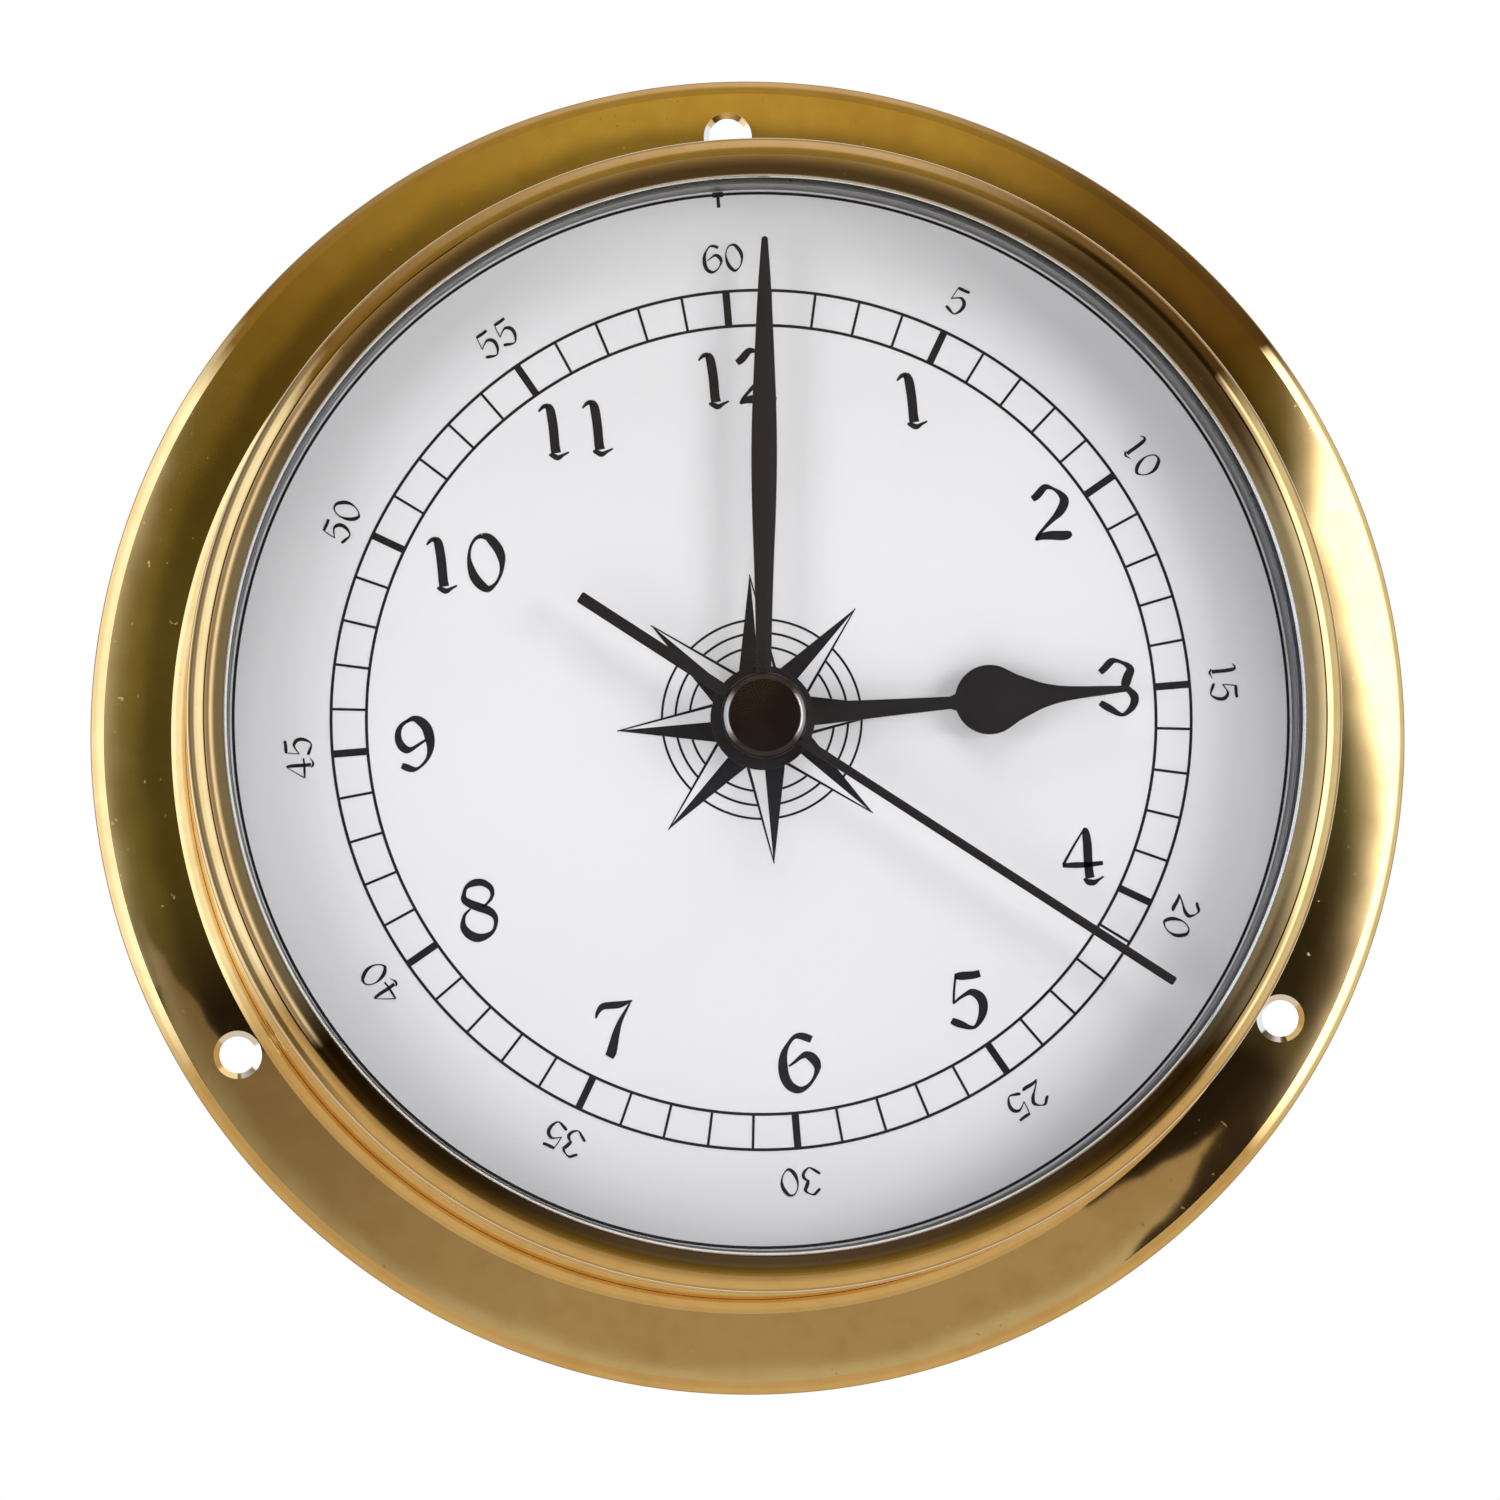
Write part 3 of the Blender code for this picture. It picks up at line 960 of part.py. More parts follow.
def setting_knob(motion_phase):
    shaft_front = ROOF - END_PLAY
    profile = [(0.0, ROOF + PIVOT_LENGTH), (PIVOT_RADIUS, ROOF + PIVOT_LENGTH), (PIVOT_RADIUS, shaft_front),
               (KNOB_SHAFT_RADIUS, shaft_front), (KNOB_SHAFT_RADIUS, KNOB_BACK + KNOB_THICKNESS),
               (KNOB_RADIUS, KNOB_BACK + KNOB_THICKNESS), (KNOB_RADIUS, KNOB_BACK), (0.0, KNOB_BACK)]
    phase = meeting_phase(motion_phase, MOTION_TEETH, KNOB_PINION_TEETH, MOTION, KNOB)
    knob = add_turned("setting_knob", profile, "white_plastic", closed=False, steps=TUBE_STEPS,
                      place=(*KNOB, 0.0))
    join(knob, pinion_mesh("knob_pinion", KNOB_PINION_TEETH, MOTION_MODULE, MOTION_LAYER, phase))


# Hands
def add_hand(name, right_side, hole, back, front, angle):
    mesh = plate_mesh(name, [mirrored(right_side), circle(hole)], back, front)
    add_piece(name, mesh, "black_hand", turn=(0.0, 0.0, math.radians(-angle)))


def side_points(stations, start, length, half):
    return [(half * width, start + length * share) for share, width in stations]


def hour_hand():
    shank_length = BULB_REACH - BULB_RADIUS - HOUR_HUB_RADIUS
    shank = side_points(HOUR_SHANK, HOUR_HUB_RADIUS, shank_length, HOUR_SHANK_HALF)
    bulb_start = -90.0 + math.degrees(math.asin(shank[-1][0] / BULB_RADIUS))
    point_start = BULB_REACH + BULB_RADIUS * math.sin(math.radians(BULB_END_ANGLE))
    right_side = hub_side(HOUR_HUB_RADIUS, 0.0, HOUR_SHANK_HALF) + shank
    right_side += arc(BULB_RADIUS, bulb_start, BULB_END_ANGLE, 8, (0.0, BULB_REACH))
    right_side += side_points(HOUR_POINT, point_start, HOUR_POINT_LENGTH, HOUR_POINT_HALF)
    right_side.append((0.0, point_start + HOUR_POINT_LENGTH))
    add_hand("hour_hand", right_side, HOUR_TUBE + HAND_FIT, HOUR_HAND_BACK, HOUR_HAND_FRONT, HOUR_ANGLE)


def minute_hand():
    right_side = hub_side(MINUTE_HUB_RADIUS, 0.0, MINUTE_ROOT_HALF)
    right_side += side_points(MINUTE_LEAF, 0.0, MINUTE_REACH, MINUTE_LEAF_HALF)
    right_side.append((0.0, MINUTE_REACH))
    add_hand("minute_hand", right_side, MINUTE_TUBE + HAND_FIT, MINUTE_HAND_BACK, MINUTE_HAND_FRONT,
             MINUTE_ANGLE)


def seconds_hand():
    tail = [(SECONDS_TAIL_HALF - SECONDS_END_ROUND, -SECONDS_TAIL),
            (SECONDS_TAIL_HALF, -SECONDS_TAIL + SECONDS_END_ROUND)]
    front = [(SECONDS_FRONT_HALF, SECONDS_REACH - SECONDS_END_ROUND),
             (SECONDS_FRONT_HALF - SECONDS_END_ROUND, SECONDS_REACH)]
    right_side = tail + hub_side(SECONDS_HUB_RADIUS, SECONDS_TAIL_HALF, SECONDS_FRONT_HALF) + front
    add_hand("seconds_hand", right_side, ARBOR_RADIUS + HAND_FIT, SECONDS_HAND_BACK, SECONDS_HAND_FRONT,
             SECONDS_ANGLE)


def seconds_cap():
    dome = []
    for share in (0.0, 0.3, 0.55, 0.78, 0.93):
        dome.append((CAP_RADIUS * share, CAP_FRONT - (CAP_HEIGHT - CAP_EDGE) * share ** 3))
    profile = dome + [(CAP_RADIUS, CAP_BACK + CAP_EDGE), (CAP_RADIUS, CAP_BACK), (0.0, CAP_BACK)]
    add_turned("seconds_cap", profile, "black_hand", closed=False, steps=32)


for leftover in list(bpy.data.objects):
    bpy.data.objects.remove(leftover)
parts = link_collection("marine_wall_clock")
cutters = link_collection("cutters")
upright = bpy.data.objects.new("upright", None)
upright.rotation_euler.x = math.radians(90)
parts.objects.link(upright)

case_body()
bezel_ring()
glass_lens()
flat_ring("glass_gasket", INSERT_RADIUS - GASKET_WIDTH, INSERT_RADIUS, GASKET_BACK, GASKET_FRONT, "black_rubber")
flat_ring("rehaut_ring", REHAUT_INNER, INSERT_RADIUS, REHAUT_BACK, REHAUT_FRONT, "satin_metal")
flat_ring("dial_plate", DIAL_HOLE, INSERT_RADIUS, DIAL_BACK, DIAL_FRONT, "printed_dial")
dial_carrier()
rear_cover()
cover_screws()
movement_back_case()
movement_front_case()
wheel_bridge()
flat_ring("movement_washer", DIAL_HOLE, WASHER_RADIUS, WASHER_BACK, WASHER_BACK + WASHER_THICKNESS,
          "black_rubber", TUBE_STEPS)
post_nut()
battery()
battery_contacts()
circuit_board()
stator()
coil()
setting_knob(gear_train())
hour_hand()
minute_hand()
seconds_hand()
seconds_cap()
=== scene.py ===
import json
import math

import bmesh
import bpy
from mathutils import Matrix, Quaternion, Vector

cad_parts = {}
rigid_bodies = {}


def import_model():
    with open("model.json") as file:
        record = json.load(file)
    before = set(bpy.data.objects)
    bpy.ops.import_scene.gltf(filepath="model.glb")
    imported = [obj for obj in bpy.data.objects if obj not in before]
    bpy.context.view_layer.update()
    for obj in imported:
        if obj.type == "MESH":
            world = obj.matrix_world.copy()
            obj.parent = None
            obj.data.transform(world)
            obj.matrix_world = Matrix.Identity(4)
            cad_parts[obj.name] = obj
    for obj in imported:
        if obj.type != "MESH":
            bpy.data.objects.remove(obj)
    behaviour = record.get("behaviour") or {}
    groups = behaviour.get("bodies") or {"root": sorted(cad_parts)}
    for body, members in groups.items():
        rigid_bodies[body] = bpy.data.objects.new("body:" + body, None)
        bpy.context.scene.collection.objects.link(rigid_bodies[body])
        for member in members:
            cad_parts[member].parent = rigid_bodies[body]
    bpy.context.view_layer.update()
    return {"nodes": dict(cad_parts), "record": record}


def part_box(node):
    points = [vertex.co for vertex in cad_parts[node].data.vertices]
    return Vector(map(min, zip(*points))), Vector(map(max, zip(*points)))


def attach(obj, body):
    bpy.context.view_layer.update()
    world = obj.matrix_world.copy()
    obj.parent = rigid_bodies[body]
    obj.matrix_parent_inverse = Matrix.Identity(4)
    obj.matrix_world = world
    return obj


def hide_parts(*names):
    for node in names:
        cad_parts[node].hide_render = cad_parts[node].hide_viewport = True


for leftover in list(bpy.data.objects):
    bpy.data.objects.remove(leftover)
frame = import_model()
print("frame: the packed clock is loaded")

mm = 0.001  # the frame is in metres, and every size below is in millimetres
wallHoles = {"circle": 52.605, "angles": (0.0, 120.0, 240.0), "radius": 1.6, "countersink": 2.1,
             "countersinkDepth": 0.34}


def around(radius, angle):  # a place by its clockwise angle from the top hole of the case
    return radius * math.sin(math.radians(angle)), radius * math.cos(math.radians(angle))


class Signal:  # one socket of a shader tree, so that shader maths reads as Python
    def __init__(self, tree, socket=None):
        self.tree = tree
        self.socket = socket

    def node(self, kind, settings=None, inputs=None, output=0):
        made = self.tree.nodes.new(kind)
        for name, value in (settings or {}).items():
            if name == "stops":
                paintRamp(made.color_ramp, value)
            else:
                setattr(made, name, value)
        for name, value in (inputs or {}).items():
            if isinstance(value, Signal):
                self.tree.links.new(value.socket, made.inputs[name])
            elif made.inputs[name].type == "RGBA":
                made.inputs[name].default_value = (*value, 1.0)
            else:
                made.inputs[name].default_value = value
        return Signal(self.tree, made.outputs[output])

    def maths(self, operation, *values, clamp=False):
        settings = {"operation": operation, "use_clamp": clamp}
        return self.node("ShaderNodeMath", settings, dict(enumerate(values)))

    def __rsub__(self, other):
        return self.maths("SUBTRACT", other, self)


for sign, kind in (("add", "ADD"), ("radd", "ADD"), ("sub", "SUBTRACT"), ("mul", "MULTIPLY"),
                   ("rmul", "MULTIPLY"), ("truediv", "DIVIDE"), ("pow", "POWER")):
    setattr(Signal, f"__{sign}__", lambda self, other, kind=kind: self.maths(kind, self, other))


def paintRamp(ramp, stops):
    while len(ramp.elements) < len(stops):
        ramp.elements.new(0.5)
    for element, (place, colour) in zip(ramp.elements, stops):
        element.position = place
        element.color = (*colour, 1.0)


def ramped(net, value, stops):
    return net.node("ShaderNodeValToRGB", {"stops": stops}, {"Fac": value})


def mixed(net, share, first, second):
    return net.node("ShaderNodeMix", {"data_type": "RGBA"}, {0: share, 6: first, 7: second}, output=2)


def rising(net, value, low, high, bottom=0.0, top=1.0):  # a soft step from low to high
    return net.node("ShaderNodeMapRange", {"interpolation_type": "SMOOTHSTEP"},
                    {"Value": value, "From Min": low, "From Max": high, "To Min": bottom, "To Max": top})


def between(net, value, low, lowFull, highFull, high):  # 1 in the middle and 0 outside, with soft sides
    return rising(net, value, low, lowFull) * rising(net, value, high, highFull)


def noise(net, place, scale, detail=2.0, roughness=0.5):
    return net.node("ShaderNodeTexNoise", None, {"Vector": place, "Scale": scale, "Detail": detail,
                                                 "Roughness": roughness})


def placeParts(net, vector):
    parts = net.node("ShaderNodeSeparateXYZ", None, {0: vector}).socket.node.outputs
    return [Signal(net.tree, socket) for socket in parts]


def vectorMaths(net, operation, *values, output=0):
    return net.node("ShaderNodeVectorMath", {"operation": operation}, dict(enumerate(values)), output)


def fromAxis(net, place):  # the place without its depth, and its distance from the axis in millimetres
    flat = vectorMaths(net, "MULTIPLY", place, (1.0, 0.0, 1.0))
    return flat, vectorMaths(net, "LENGTH", flat, output=1) / mm


def bumped(net, height, distance):
    return net.node("ShaderNodeBump", None, {"Height": height, "Distance": distance, "Strength": 1.0})


def makeFinish(name, recipe):  # recipe gives the inputs of the shader from the object's own coordinates
    material = bpy.data.materials.new(name)
    material.use_nodes = True
    tree = material.node_tree
    tree.nodes.clear()
    net = Signal(tree)
    place = net.node("ShaderNodeTexCoord", None, None, output=3)
    shader = recipe(net, place)
    if isinstance(shader, dict):
        shader = net.node("ShaderNodeBsdfPrincipled", None, shader)
    output = tree.nodes.new("ShaderNodeOutputMaterial")
    tree.links.new(shader.socket, output.inputs["Surface"])
    return material


# rings of painted shade and painted highlight: where they start, are full, stop being full and end, in
# millimetres from the axis, and for the painted shade patches at the corners and on the left side their
# strength
brassLook = {"bright": (0.83, 0.56, 0.21), "deep": (0.765, 0.495, 0.17), "clouds": 45.0,
             "mottle": 520.0, "roughness": 0.005, "lines": 5.2, "wave": 110.0, "waveHeight": 0.003,
             "speck": (0.34, 0.2, 0.07), "specks": 1500.0, "paintedShade": (0.052, 0.028, 0.007),
             "slopeShadeStrength": (0.94, 0.78), "shadedSlope": (45.50, 45.65, 46.20, 48.30), "shadedFrom": (-34.5, -35.5),
             "corners": (46.00, 46.40, 47.55, 47.90, 0.8),
             "left": ((46.75, 47.00, 47.15, 47.50, 0.9), (48.05, 48.25, 48.50, 48.62, 0.8)),
             "paintedGlint": (0.95, 0.89, 0.76), "glintLip": (45.3, 45.4, 45.55, 45.7), "glintHoles": (2.16, 2.06)}


def brassRecipe(net, place):
    flat, radius = fromAxis(net, place)
    across, depth, up = placeParts(net, place)
    lines = net.node("ShaderNodeTexNoise", {"noise_dimensions": "1D"},
                     {"W": radius + depth * 600.0, "Scale": brassLook["lines"], "Detail": 2.0})
    clouds = noise(net, place, brassLook["clouds"], 4.0, 0.55)
    specks = rising(net, noise(net, place, brassLook["specks"], 1.0), 0.74, 0.80)
    wave = noise(net, place, brassLook["wave"], 1.0)
    mottle = noise(net, place, brassLook["mottle"], 3.0)
    blend = rising(net, clouds * 0.5 + mottle * 0.5, 0.38, 0.66)
    tint = mixed(net, blend, brassLook["bright"], brassLook["deep"])
    # painted shade darkens the inner slope of the bezel, most at its top and bottom, in place of a darker
    # reflection
    front = rising(net, depth / mm, *brassLook["shadedFrom"])
    sideways, upwards = across / (radius * mm), net.maths("ABSOLUTE", up / (radius * mm))
    slopeShadeStrength = rising(net, net.maths("ABSOLUTE", sideways), 0.80, 0.97, *brassLook["slopeShadeStrength"])
    slopeShade = between(net, radius, *brassLook["shadedSlope"]) * front
    tint = mixed(net, slopeShade * slopeShadeStrength, tint, brassLook["paintedShade"])
    # painted shade in patches dims the bezel at both corners of its right side and along its left side
    *ring, strength = brassLook["corners"]
    corners = rising(net, sideways, 0.45, 0.65) * rising(net, upwards, 0.25, 0.48)
    patchShade = corners * between(net, radius, *ring) * strength
    left = rising(net, sideways, -0.70, -0.85)
    for *ring, strength in brassLook["left"]:
        patchShade = net.maths("MAXIMUM", patchShade, between(net, radius, *ring) * left * strength)
    tint = mixed(net, patchShade * front, tint, brassLook["paintedShade"])
    # painted highlight: the lip of the bezel and the edges of the holes are made paler
    toHole = 1.0
    for angle in wallHoles["angles"]:
        x, z = around(wallHoles["circle"] * mm, angle)
        toHole = net.maths("MINIMUM", toHole, vectorMaths(net, "DISTANCE", flat, (x, 0.0, z), output=1))
    paintedGlint = net.maths("MAXIMUM", between(net, radius, *brassLook["glintLip"]),
                     rising(net, toHole / mm, *brassLook["glintHoles"]))
    tint = mixed(net, paintedGlint, tint, brassLook["paintedGlint"])
    return {"Base Color": mixed(net, specks * 0.2, tint, brassLook["speck"]), "Metallic": 1.0,
            "Roughness": brassLook["roughness"] + clouds * 0.010 + lines * 0.003 + specks * 0.05,
            "Coat Weight": 0.15, "Coat Roughness": 0.03, "Coat IOR": 1.5,
            "Normal": bumped(net, wave, brassLook["waveHeight"] * mm)}


glassLook = {"clear": (0.991, 0.991, 0.993), "sheen": 0.008, "edgeSheen": 0.8, "roughness": 0.012}


def glassRecipe(net, place):
    smear = noise(net, place, 35.0, 3.0)
    clear = net.node("ShaderNodeBsdfTransparent", None, {"Color": glassLook["clear"]})
    mirror = net.node("ShaderNodeBsdfPrincipled", None, {
        "Base Color": (1.0, 1.0, 1.0), "Metallic": 1.0,
        "Roughness": glassLook["roughness"] + smear * 0.02})
    slant = net.node("ShaderNodeLayerWeight", None, {"Blend": 0.5}, output=1)
    share = slant ** 5.0 * glassLook["edgeSheen"] + glassLook["sheen"]
    return net.node("ShaderNodeMixShader", None, {0: share, 1: clear, 2: mirror})


def dialRecipe(net, place):
    tone = noise(net, place, 28.0, 3.0)
    grain = noise(net, place, 5200.0, 2.0)
    paint = mixed(net, rising(net, tone, 0.3, 0.7), (0.855, 0.855, 0.862), (0.880, 0.880, 0.888))
    return {"Base Color": mixed(net, grain * 0.05, paint, (0.7, 0.7, 0.72)),
            "Roughness": 0.5 + grain * 0.12, "Specular IOR Level": 0.05,
            "Normal": bumped(net, grain, 0.003 * mm)}


# the cap carries a painted highlight on its shoulder at both sides; its colour, ring and side limits are
# given here
capLook = {"lacquer": ((0.0085, 0.0045, 0.0045), (0.014, 0.007, 0.007)), "roughness": 0.008,
           "shoulderGlint": (0.40, 0.34, 0.27), "shoulder": (3.02, 3.14, 3.42, 3.52),
           "sides": (0.72, 0.98, 0.06)}


def capRecipe(net, place):  # a lacquered dome; a painted highlight of bare metal lies on its shoulder at both sides
    coat = noise(net, place, 500.0, 2.0)
    radius = fromAxis(net, place)[1]
    side = net.maths("ABSOLUTE", placeParts(net, place)[0] / (radius * mm))
    shoulderGlint = between(net, radius, *capLook["shoulder"]) * rising(net, side, *capLook["sides"])
    lacquer = mixed(net, coat, *capLook["lacquer"])
    return {"Base Color": mixed(net, shoulderGlint, lacquer, capLook["shoulderGlint"]), "Metallic": shoulderGlint,
            "Roughness": capLook["roughness"] + coat * 0.012, "Specular IOR Level": 0.12}


def copperRecipe(net, place):
    height = placeParts(net, place)[2]
    wire = 0.22  # one turn of wire to the next
    turns = net.maths("SINE", height * (2 * math.pi / (wire * mm)))
    stain = noise(net, place, 300.0, 3.0)
    return {"Base Color": mixed(net, stain, (0.52, 0.20, 0.09), (0.72, 0.34, 0.17)),
            "Metallic": 1.0, "Roughness": 0.3 + stain * 0.15, "Normal": bumped(net, turns, 0.05 * mm)}


def circuitRecipe(net, place):
    cells = net.node("ShaderNodeTexVoronoi", {"distance": "CHEBYCHEV", "feature": "F1"},
                     {"Vector": place, "Scale": 420.0})
    tracks = rising(net, net.maths("ABSOLUTE", net.maths("SINE", cells * 9.0)), 0.82, 0.9)
    weave = noise(net, place, 3000.0, 2.0)
    green = mixed(net, weave, (0.010, 0.11, 0.045), (0.018, 0.16, 0.07))
    return {"Base Color": mixed(net, tracks, green, (0.05, 0.30, 0.12)),
            "Roughness": 0.34 + weave * 0.15, "Normal": bumped(net, tracks, 0.03 * mm)}


cell = {"middle": 0.85, "wrapHalf": 24.0}  # the wrap leaves bare metal at both ends


def batteryRecipe(net, place):
    along = placeParts(net, place)[0] / mm
    fromMiddle = net.maths("ABSOLUTE", along - cell["middle"])
    ends = rising(net, fromMiddle, cell["wrapHalf"], cell["wrapHalf"] + 0.1)
    scuffs = noise(net, place, 200.0, 2.0)
    wrap = mixed(net, scuffs, (0.045, 0.06, 0.10), (0.07, 0.085, 0.13))
    return {"Base Color": mixed(net, ends, wrap, (0.66, 0.65, 0.63)), "Metallic": ends,
            "Roughness": 0.26 + scuffs * 0.12, "Normal": bumped(net, scuffs, 0.01 * mm)}


def floorRecipe(net, place):
    tone = noise(net, place, 2.0, 3.0)
    return {"Base Color": mixed(net, tone, (0.80, 0.80, 0.80), (0.84, 0.84, 0.84)),
            "Roughness": 0.8, "Specular IOR Level": 0.2}


# Plain finishes: two colours, then scale and detail of the clouds that mix them and of a fine grain.
# The roughness is a plain value and the shares of clouds and grain, and the bumps are in millimetres.
plastic = {"clouds": (60.0, 3.0), "grain": (4200.0, 2.0), "bumps": 0.01, "specular": 0.4}
coats = {
    "satin_metal": {"title": "glossyGreyMetal", "dark": (0.110, 0.107, 0.102), "light": (0.140, 0.137, 0.131),
                    "clouds": (90.0, 3.0), "grain": (900.0, 2.0), "stretch": (1.0, 14.0, 1.0),
                    "roughness": (0.22, 0.08, 0.06), "bumps": 0.004, "metallic": 0.5},
    "ink": {"title": "printedInk", "dark": (0.007, 0.006, 0.007), "light": (0.020, 0.018, 0.019),
            "clouds": (2600.0, 3.0), "grain": (2600.0, 3.0), "roughness": (0.55, 0.2, 0.0),
            "bumps": 0.003, "specular": 0.15},
    "hand": {"title": "blackHandPaint", "dark": (0.0085, 0.0062, 0.0064), "light": (0.015, 0.0105, 0.0105),
             "clouds": (260.0, 3.0), "grain": (3400.0, 2.0), "roughness": (0.34, 0.14, 0.06),
             "bumps": 0.004, "cloudBumps": 1.0, "specular": 0.15},
    "black_plastic": {**plastic, "title": "blackMouldedPlastic", "dark": (0.016, 0.016, 0.018),
                      "light": (0.030, 0.030, 0.032), "roughness": (0.42, 0.1, 0.1)},
    "white_plastic": {**plastic, "title": "whiteMouldedPlastic", "dark": (0.74, 0.73, 0.70),
                      "light": (0.82, 0.81, 0.78), "roughness": (0.36, 0.1, 0.1)},
    "rubber": {"title": "softBlackRubber", "dark": (0.014, 0.014, 0.014), "light": (0.034, 0.033, 0.032),
               "clouds": (150.0, 4.0), "grain": (6000.0, 1.0), "roughness": (0.62, 0.2, 0.0),
               "bumps": 0.01, "specular": 0.3},
    "steel": {"title": "platedSteel", "dark": (0.55, 0.545, 0.53), "light": (0.67, 0.665, 0.65),
              "clouds": (120.0, 3.0), "grain": (1800.0, 2.0), "stretch": (1.0, 1.0, 12.0),
              "roughness": (0.22, 0.1, 0.1), "bumps": 0.005, "metallic": 1.0},
}


def coatRecipe(coat):
    def recipe(net, place):
        clouds = noise(net, place, *coat["clouds"])
        if "stretch" in coat:
            place = vectorMaths(net, "MULTIPLY", place, coat["stretch"])
        grain = noise(net, place, *coat["grain"])
        plain, cloudy, grainy = coat["roughness"]
        height = grain + clouds * coat.get("cloudBumps", 0.0)
        return {"Base Color": mixed(net, clouds, coat["dark"], coat["light"]),
                "Roughness": plain + clouds * cloudy + grain * grainy, "Metallic": coat.get("metallic", 0.0),
                "Specular IOR Level": coat.get("specular", 0.5),
                "Normal": bumped(net, height, coat["bumps"] * mm)}
    return recipe


finishes = {slotName: makeFinish(coat["title"], coatRecipe(coat)) for slotName, coat in coats.items()}
for slotName, title, recipe in (
        ("brass", "polishedBrass", brassRecipe), ("glass", "clearGlass", glassRecipe),
        ("dial", "dialPaint", dialRecipe), ("cap", "blackCapLacquer", capRecipe),
        ("copper", "enamelledCopper", copperRecipe), ("circuit", "greenCircuitBoard", circuitRecipe),
        ("battery", "wrappedCell", batteryRecipe)):
    finishes[slotName] = makeFinish(title, recipe)
for part in frame["record"]["subparts"]:  # every node of the frame gets the finish of its slot
    node = frame["nodes"][part["node"]]
    for slotPlace in node.material_slots:
        slotPlace.material = finishes[part["material_slot"]]
print("finishes:", len(finishes), "materials on", len(frame["nodes"]), "nodes")


def linked(name, data):
    made = bpy.data.objects.new(name, data)
    bpy.context.scene.collection.objects.link(made)
    return made


def addPiece(name, mesh, body, slotName, finish, *nodes):
    piece = linked(name, mesh)
    mesh.materials.clear()
    mesh.materials.append(finishes[finish])
    if nodes:
        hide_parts(*nodes)
    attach(piece, body)


def smoothMesh(name, shape, angle=30.0):
    bmesh.ops.remove_doubles(shape, verts=shape.verts, dist=1e-8)
    bmesh.ops.recalc_face_normals(shape, faces=shape.faces)
    mesh = bpy.data.meshes.new(name)
    shape.to_mesh(mesh)
    shape.free()
    mesh.shade_smooth()
    mesh.set_sharp_from_angle(angle=math.radians(angle))
    return mesh


def swept(start, size, fromHeading, toHeading, degreesPerStep):
    # follows a round of a profile from start; a heading of 0 runs outwards and 90 runs away from the wall
    side = 1.0 if toHeading < fromHeading else -1.0
    steps = max(2, math.ceil(abs(toHeading - fromHeading) / degreesPerStep))
    first = math.radians(fromHeading)
    centre = (start[0] + side * size * math.sin(first), start[1] - side * size * math.cos(first))
    points = []
    for step in range(1, steps + 1):
        heading = math.radians(fromHeading + (toHeading - fromHeading) * step / steps)
        points.append((centre[0] - side * size * math.sin(heading),
                       centre[1] + side * size * math.cos(heading)))
    return points


def addRounds(profile, rounds, heading=0.0, degreesPerStep=5.0):
    for size, toHeading in rounds:
        profile += swept(profile[-1], size, heading, toHeading, degreesPerStep)
        heading = toHeading
    return profile


def supported(profile, closed, margin=0.05, shortest=0.6):
    # points close to both ends of each long straight stretch keep its shading flat
    points = []
    for (r1, h1), (r2, h2) in zip(profile, profile[1:] + profile[:1] if closed else profile[1:]):
        points.append((r1, h1))
        length = math.hypot(r2 - r1, h2 - h1)
        if length > shortest:
            for share in (margin / length, 1.0 - margin / length):
                points.append((r1 + (r2 - r1) * share, h1 + (h2 - h1) * share))
    return points if closed else points + [profile[-1]]


def turnedShape(profile, steps, closed=True, centre=(0.0, 0.0)):
    shape = bmesh.new()
    rings = []
    for radius, height in supported(profile, closed):
        count = steps if radius > 1e-6 else 1
        turns = [2 * math.pi * step / steps for step in range(count)]
        rings.append([shape.verts.new(((centre[0] + radius * math.sin(turn)) * mm, -height * mm,
                                       (centre[1] + radius * math.cos(turn)) * mm)) for turn in turns])
    for near, far in zip(rings, rings[1:] + rings[:1] if closed else rings[1:]):
        for step in range(steps):
            after = (step + 1) % steps
            corners = [near[step % len(near)], near[after % len(near)],
                       far[after % len(far)], far[step % len(far)]]
            shape.faces.new(list(dict.fromkeys(corners)))
    return shape


def plainMesh(piece):  # what an object's modifiers make of it
    return bpy.data.meshes.new_from_object(piece.evaluated_get(bpy.context.evaluated_depsgraph_get()))


def cutAway(mesh, cutters, name):  # takes turned cutters out of a mesh and gives a plain mesh back
    piece = linked(name, mesh)
    tools = []
    for number, shape in enumerate(cutters):
        tool = linked(f"{name}Cutter{number}", smoothMesh(f"{name}Cutter{number}", shape))
        tools.append(tool)
        modifier = piece.modifiers.new("cut", "BOOLEAN")
        modifier.operation = "DIFFERENCE"
        modifier.solver = "EXACT"
        modifier.object = tool
    cutMesh = plainMesh(piece)
    for leftover in [piece] + tools:
        bpy.data.objects.remove(leftover)
    shape = bmesh.new()
    shape.from_mesh(cutMesh)
    bpy.data.meshes.remove(cutMesh)
    return smoothMesh(name, shape)


def holeCutters(profile, steps, circle, angles):
    return [turnedShape(profile, steps, False, around(circle, angle)) for angle in angles]


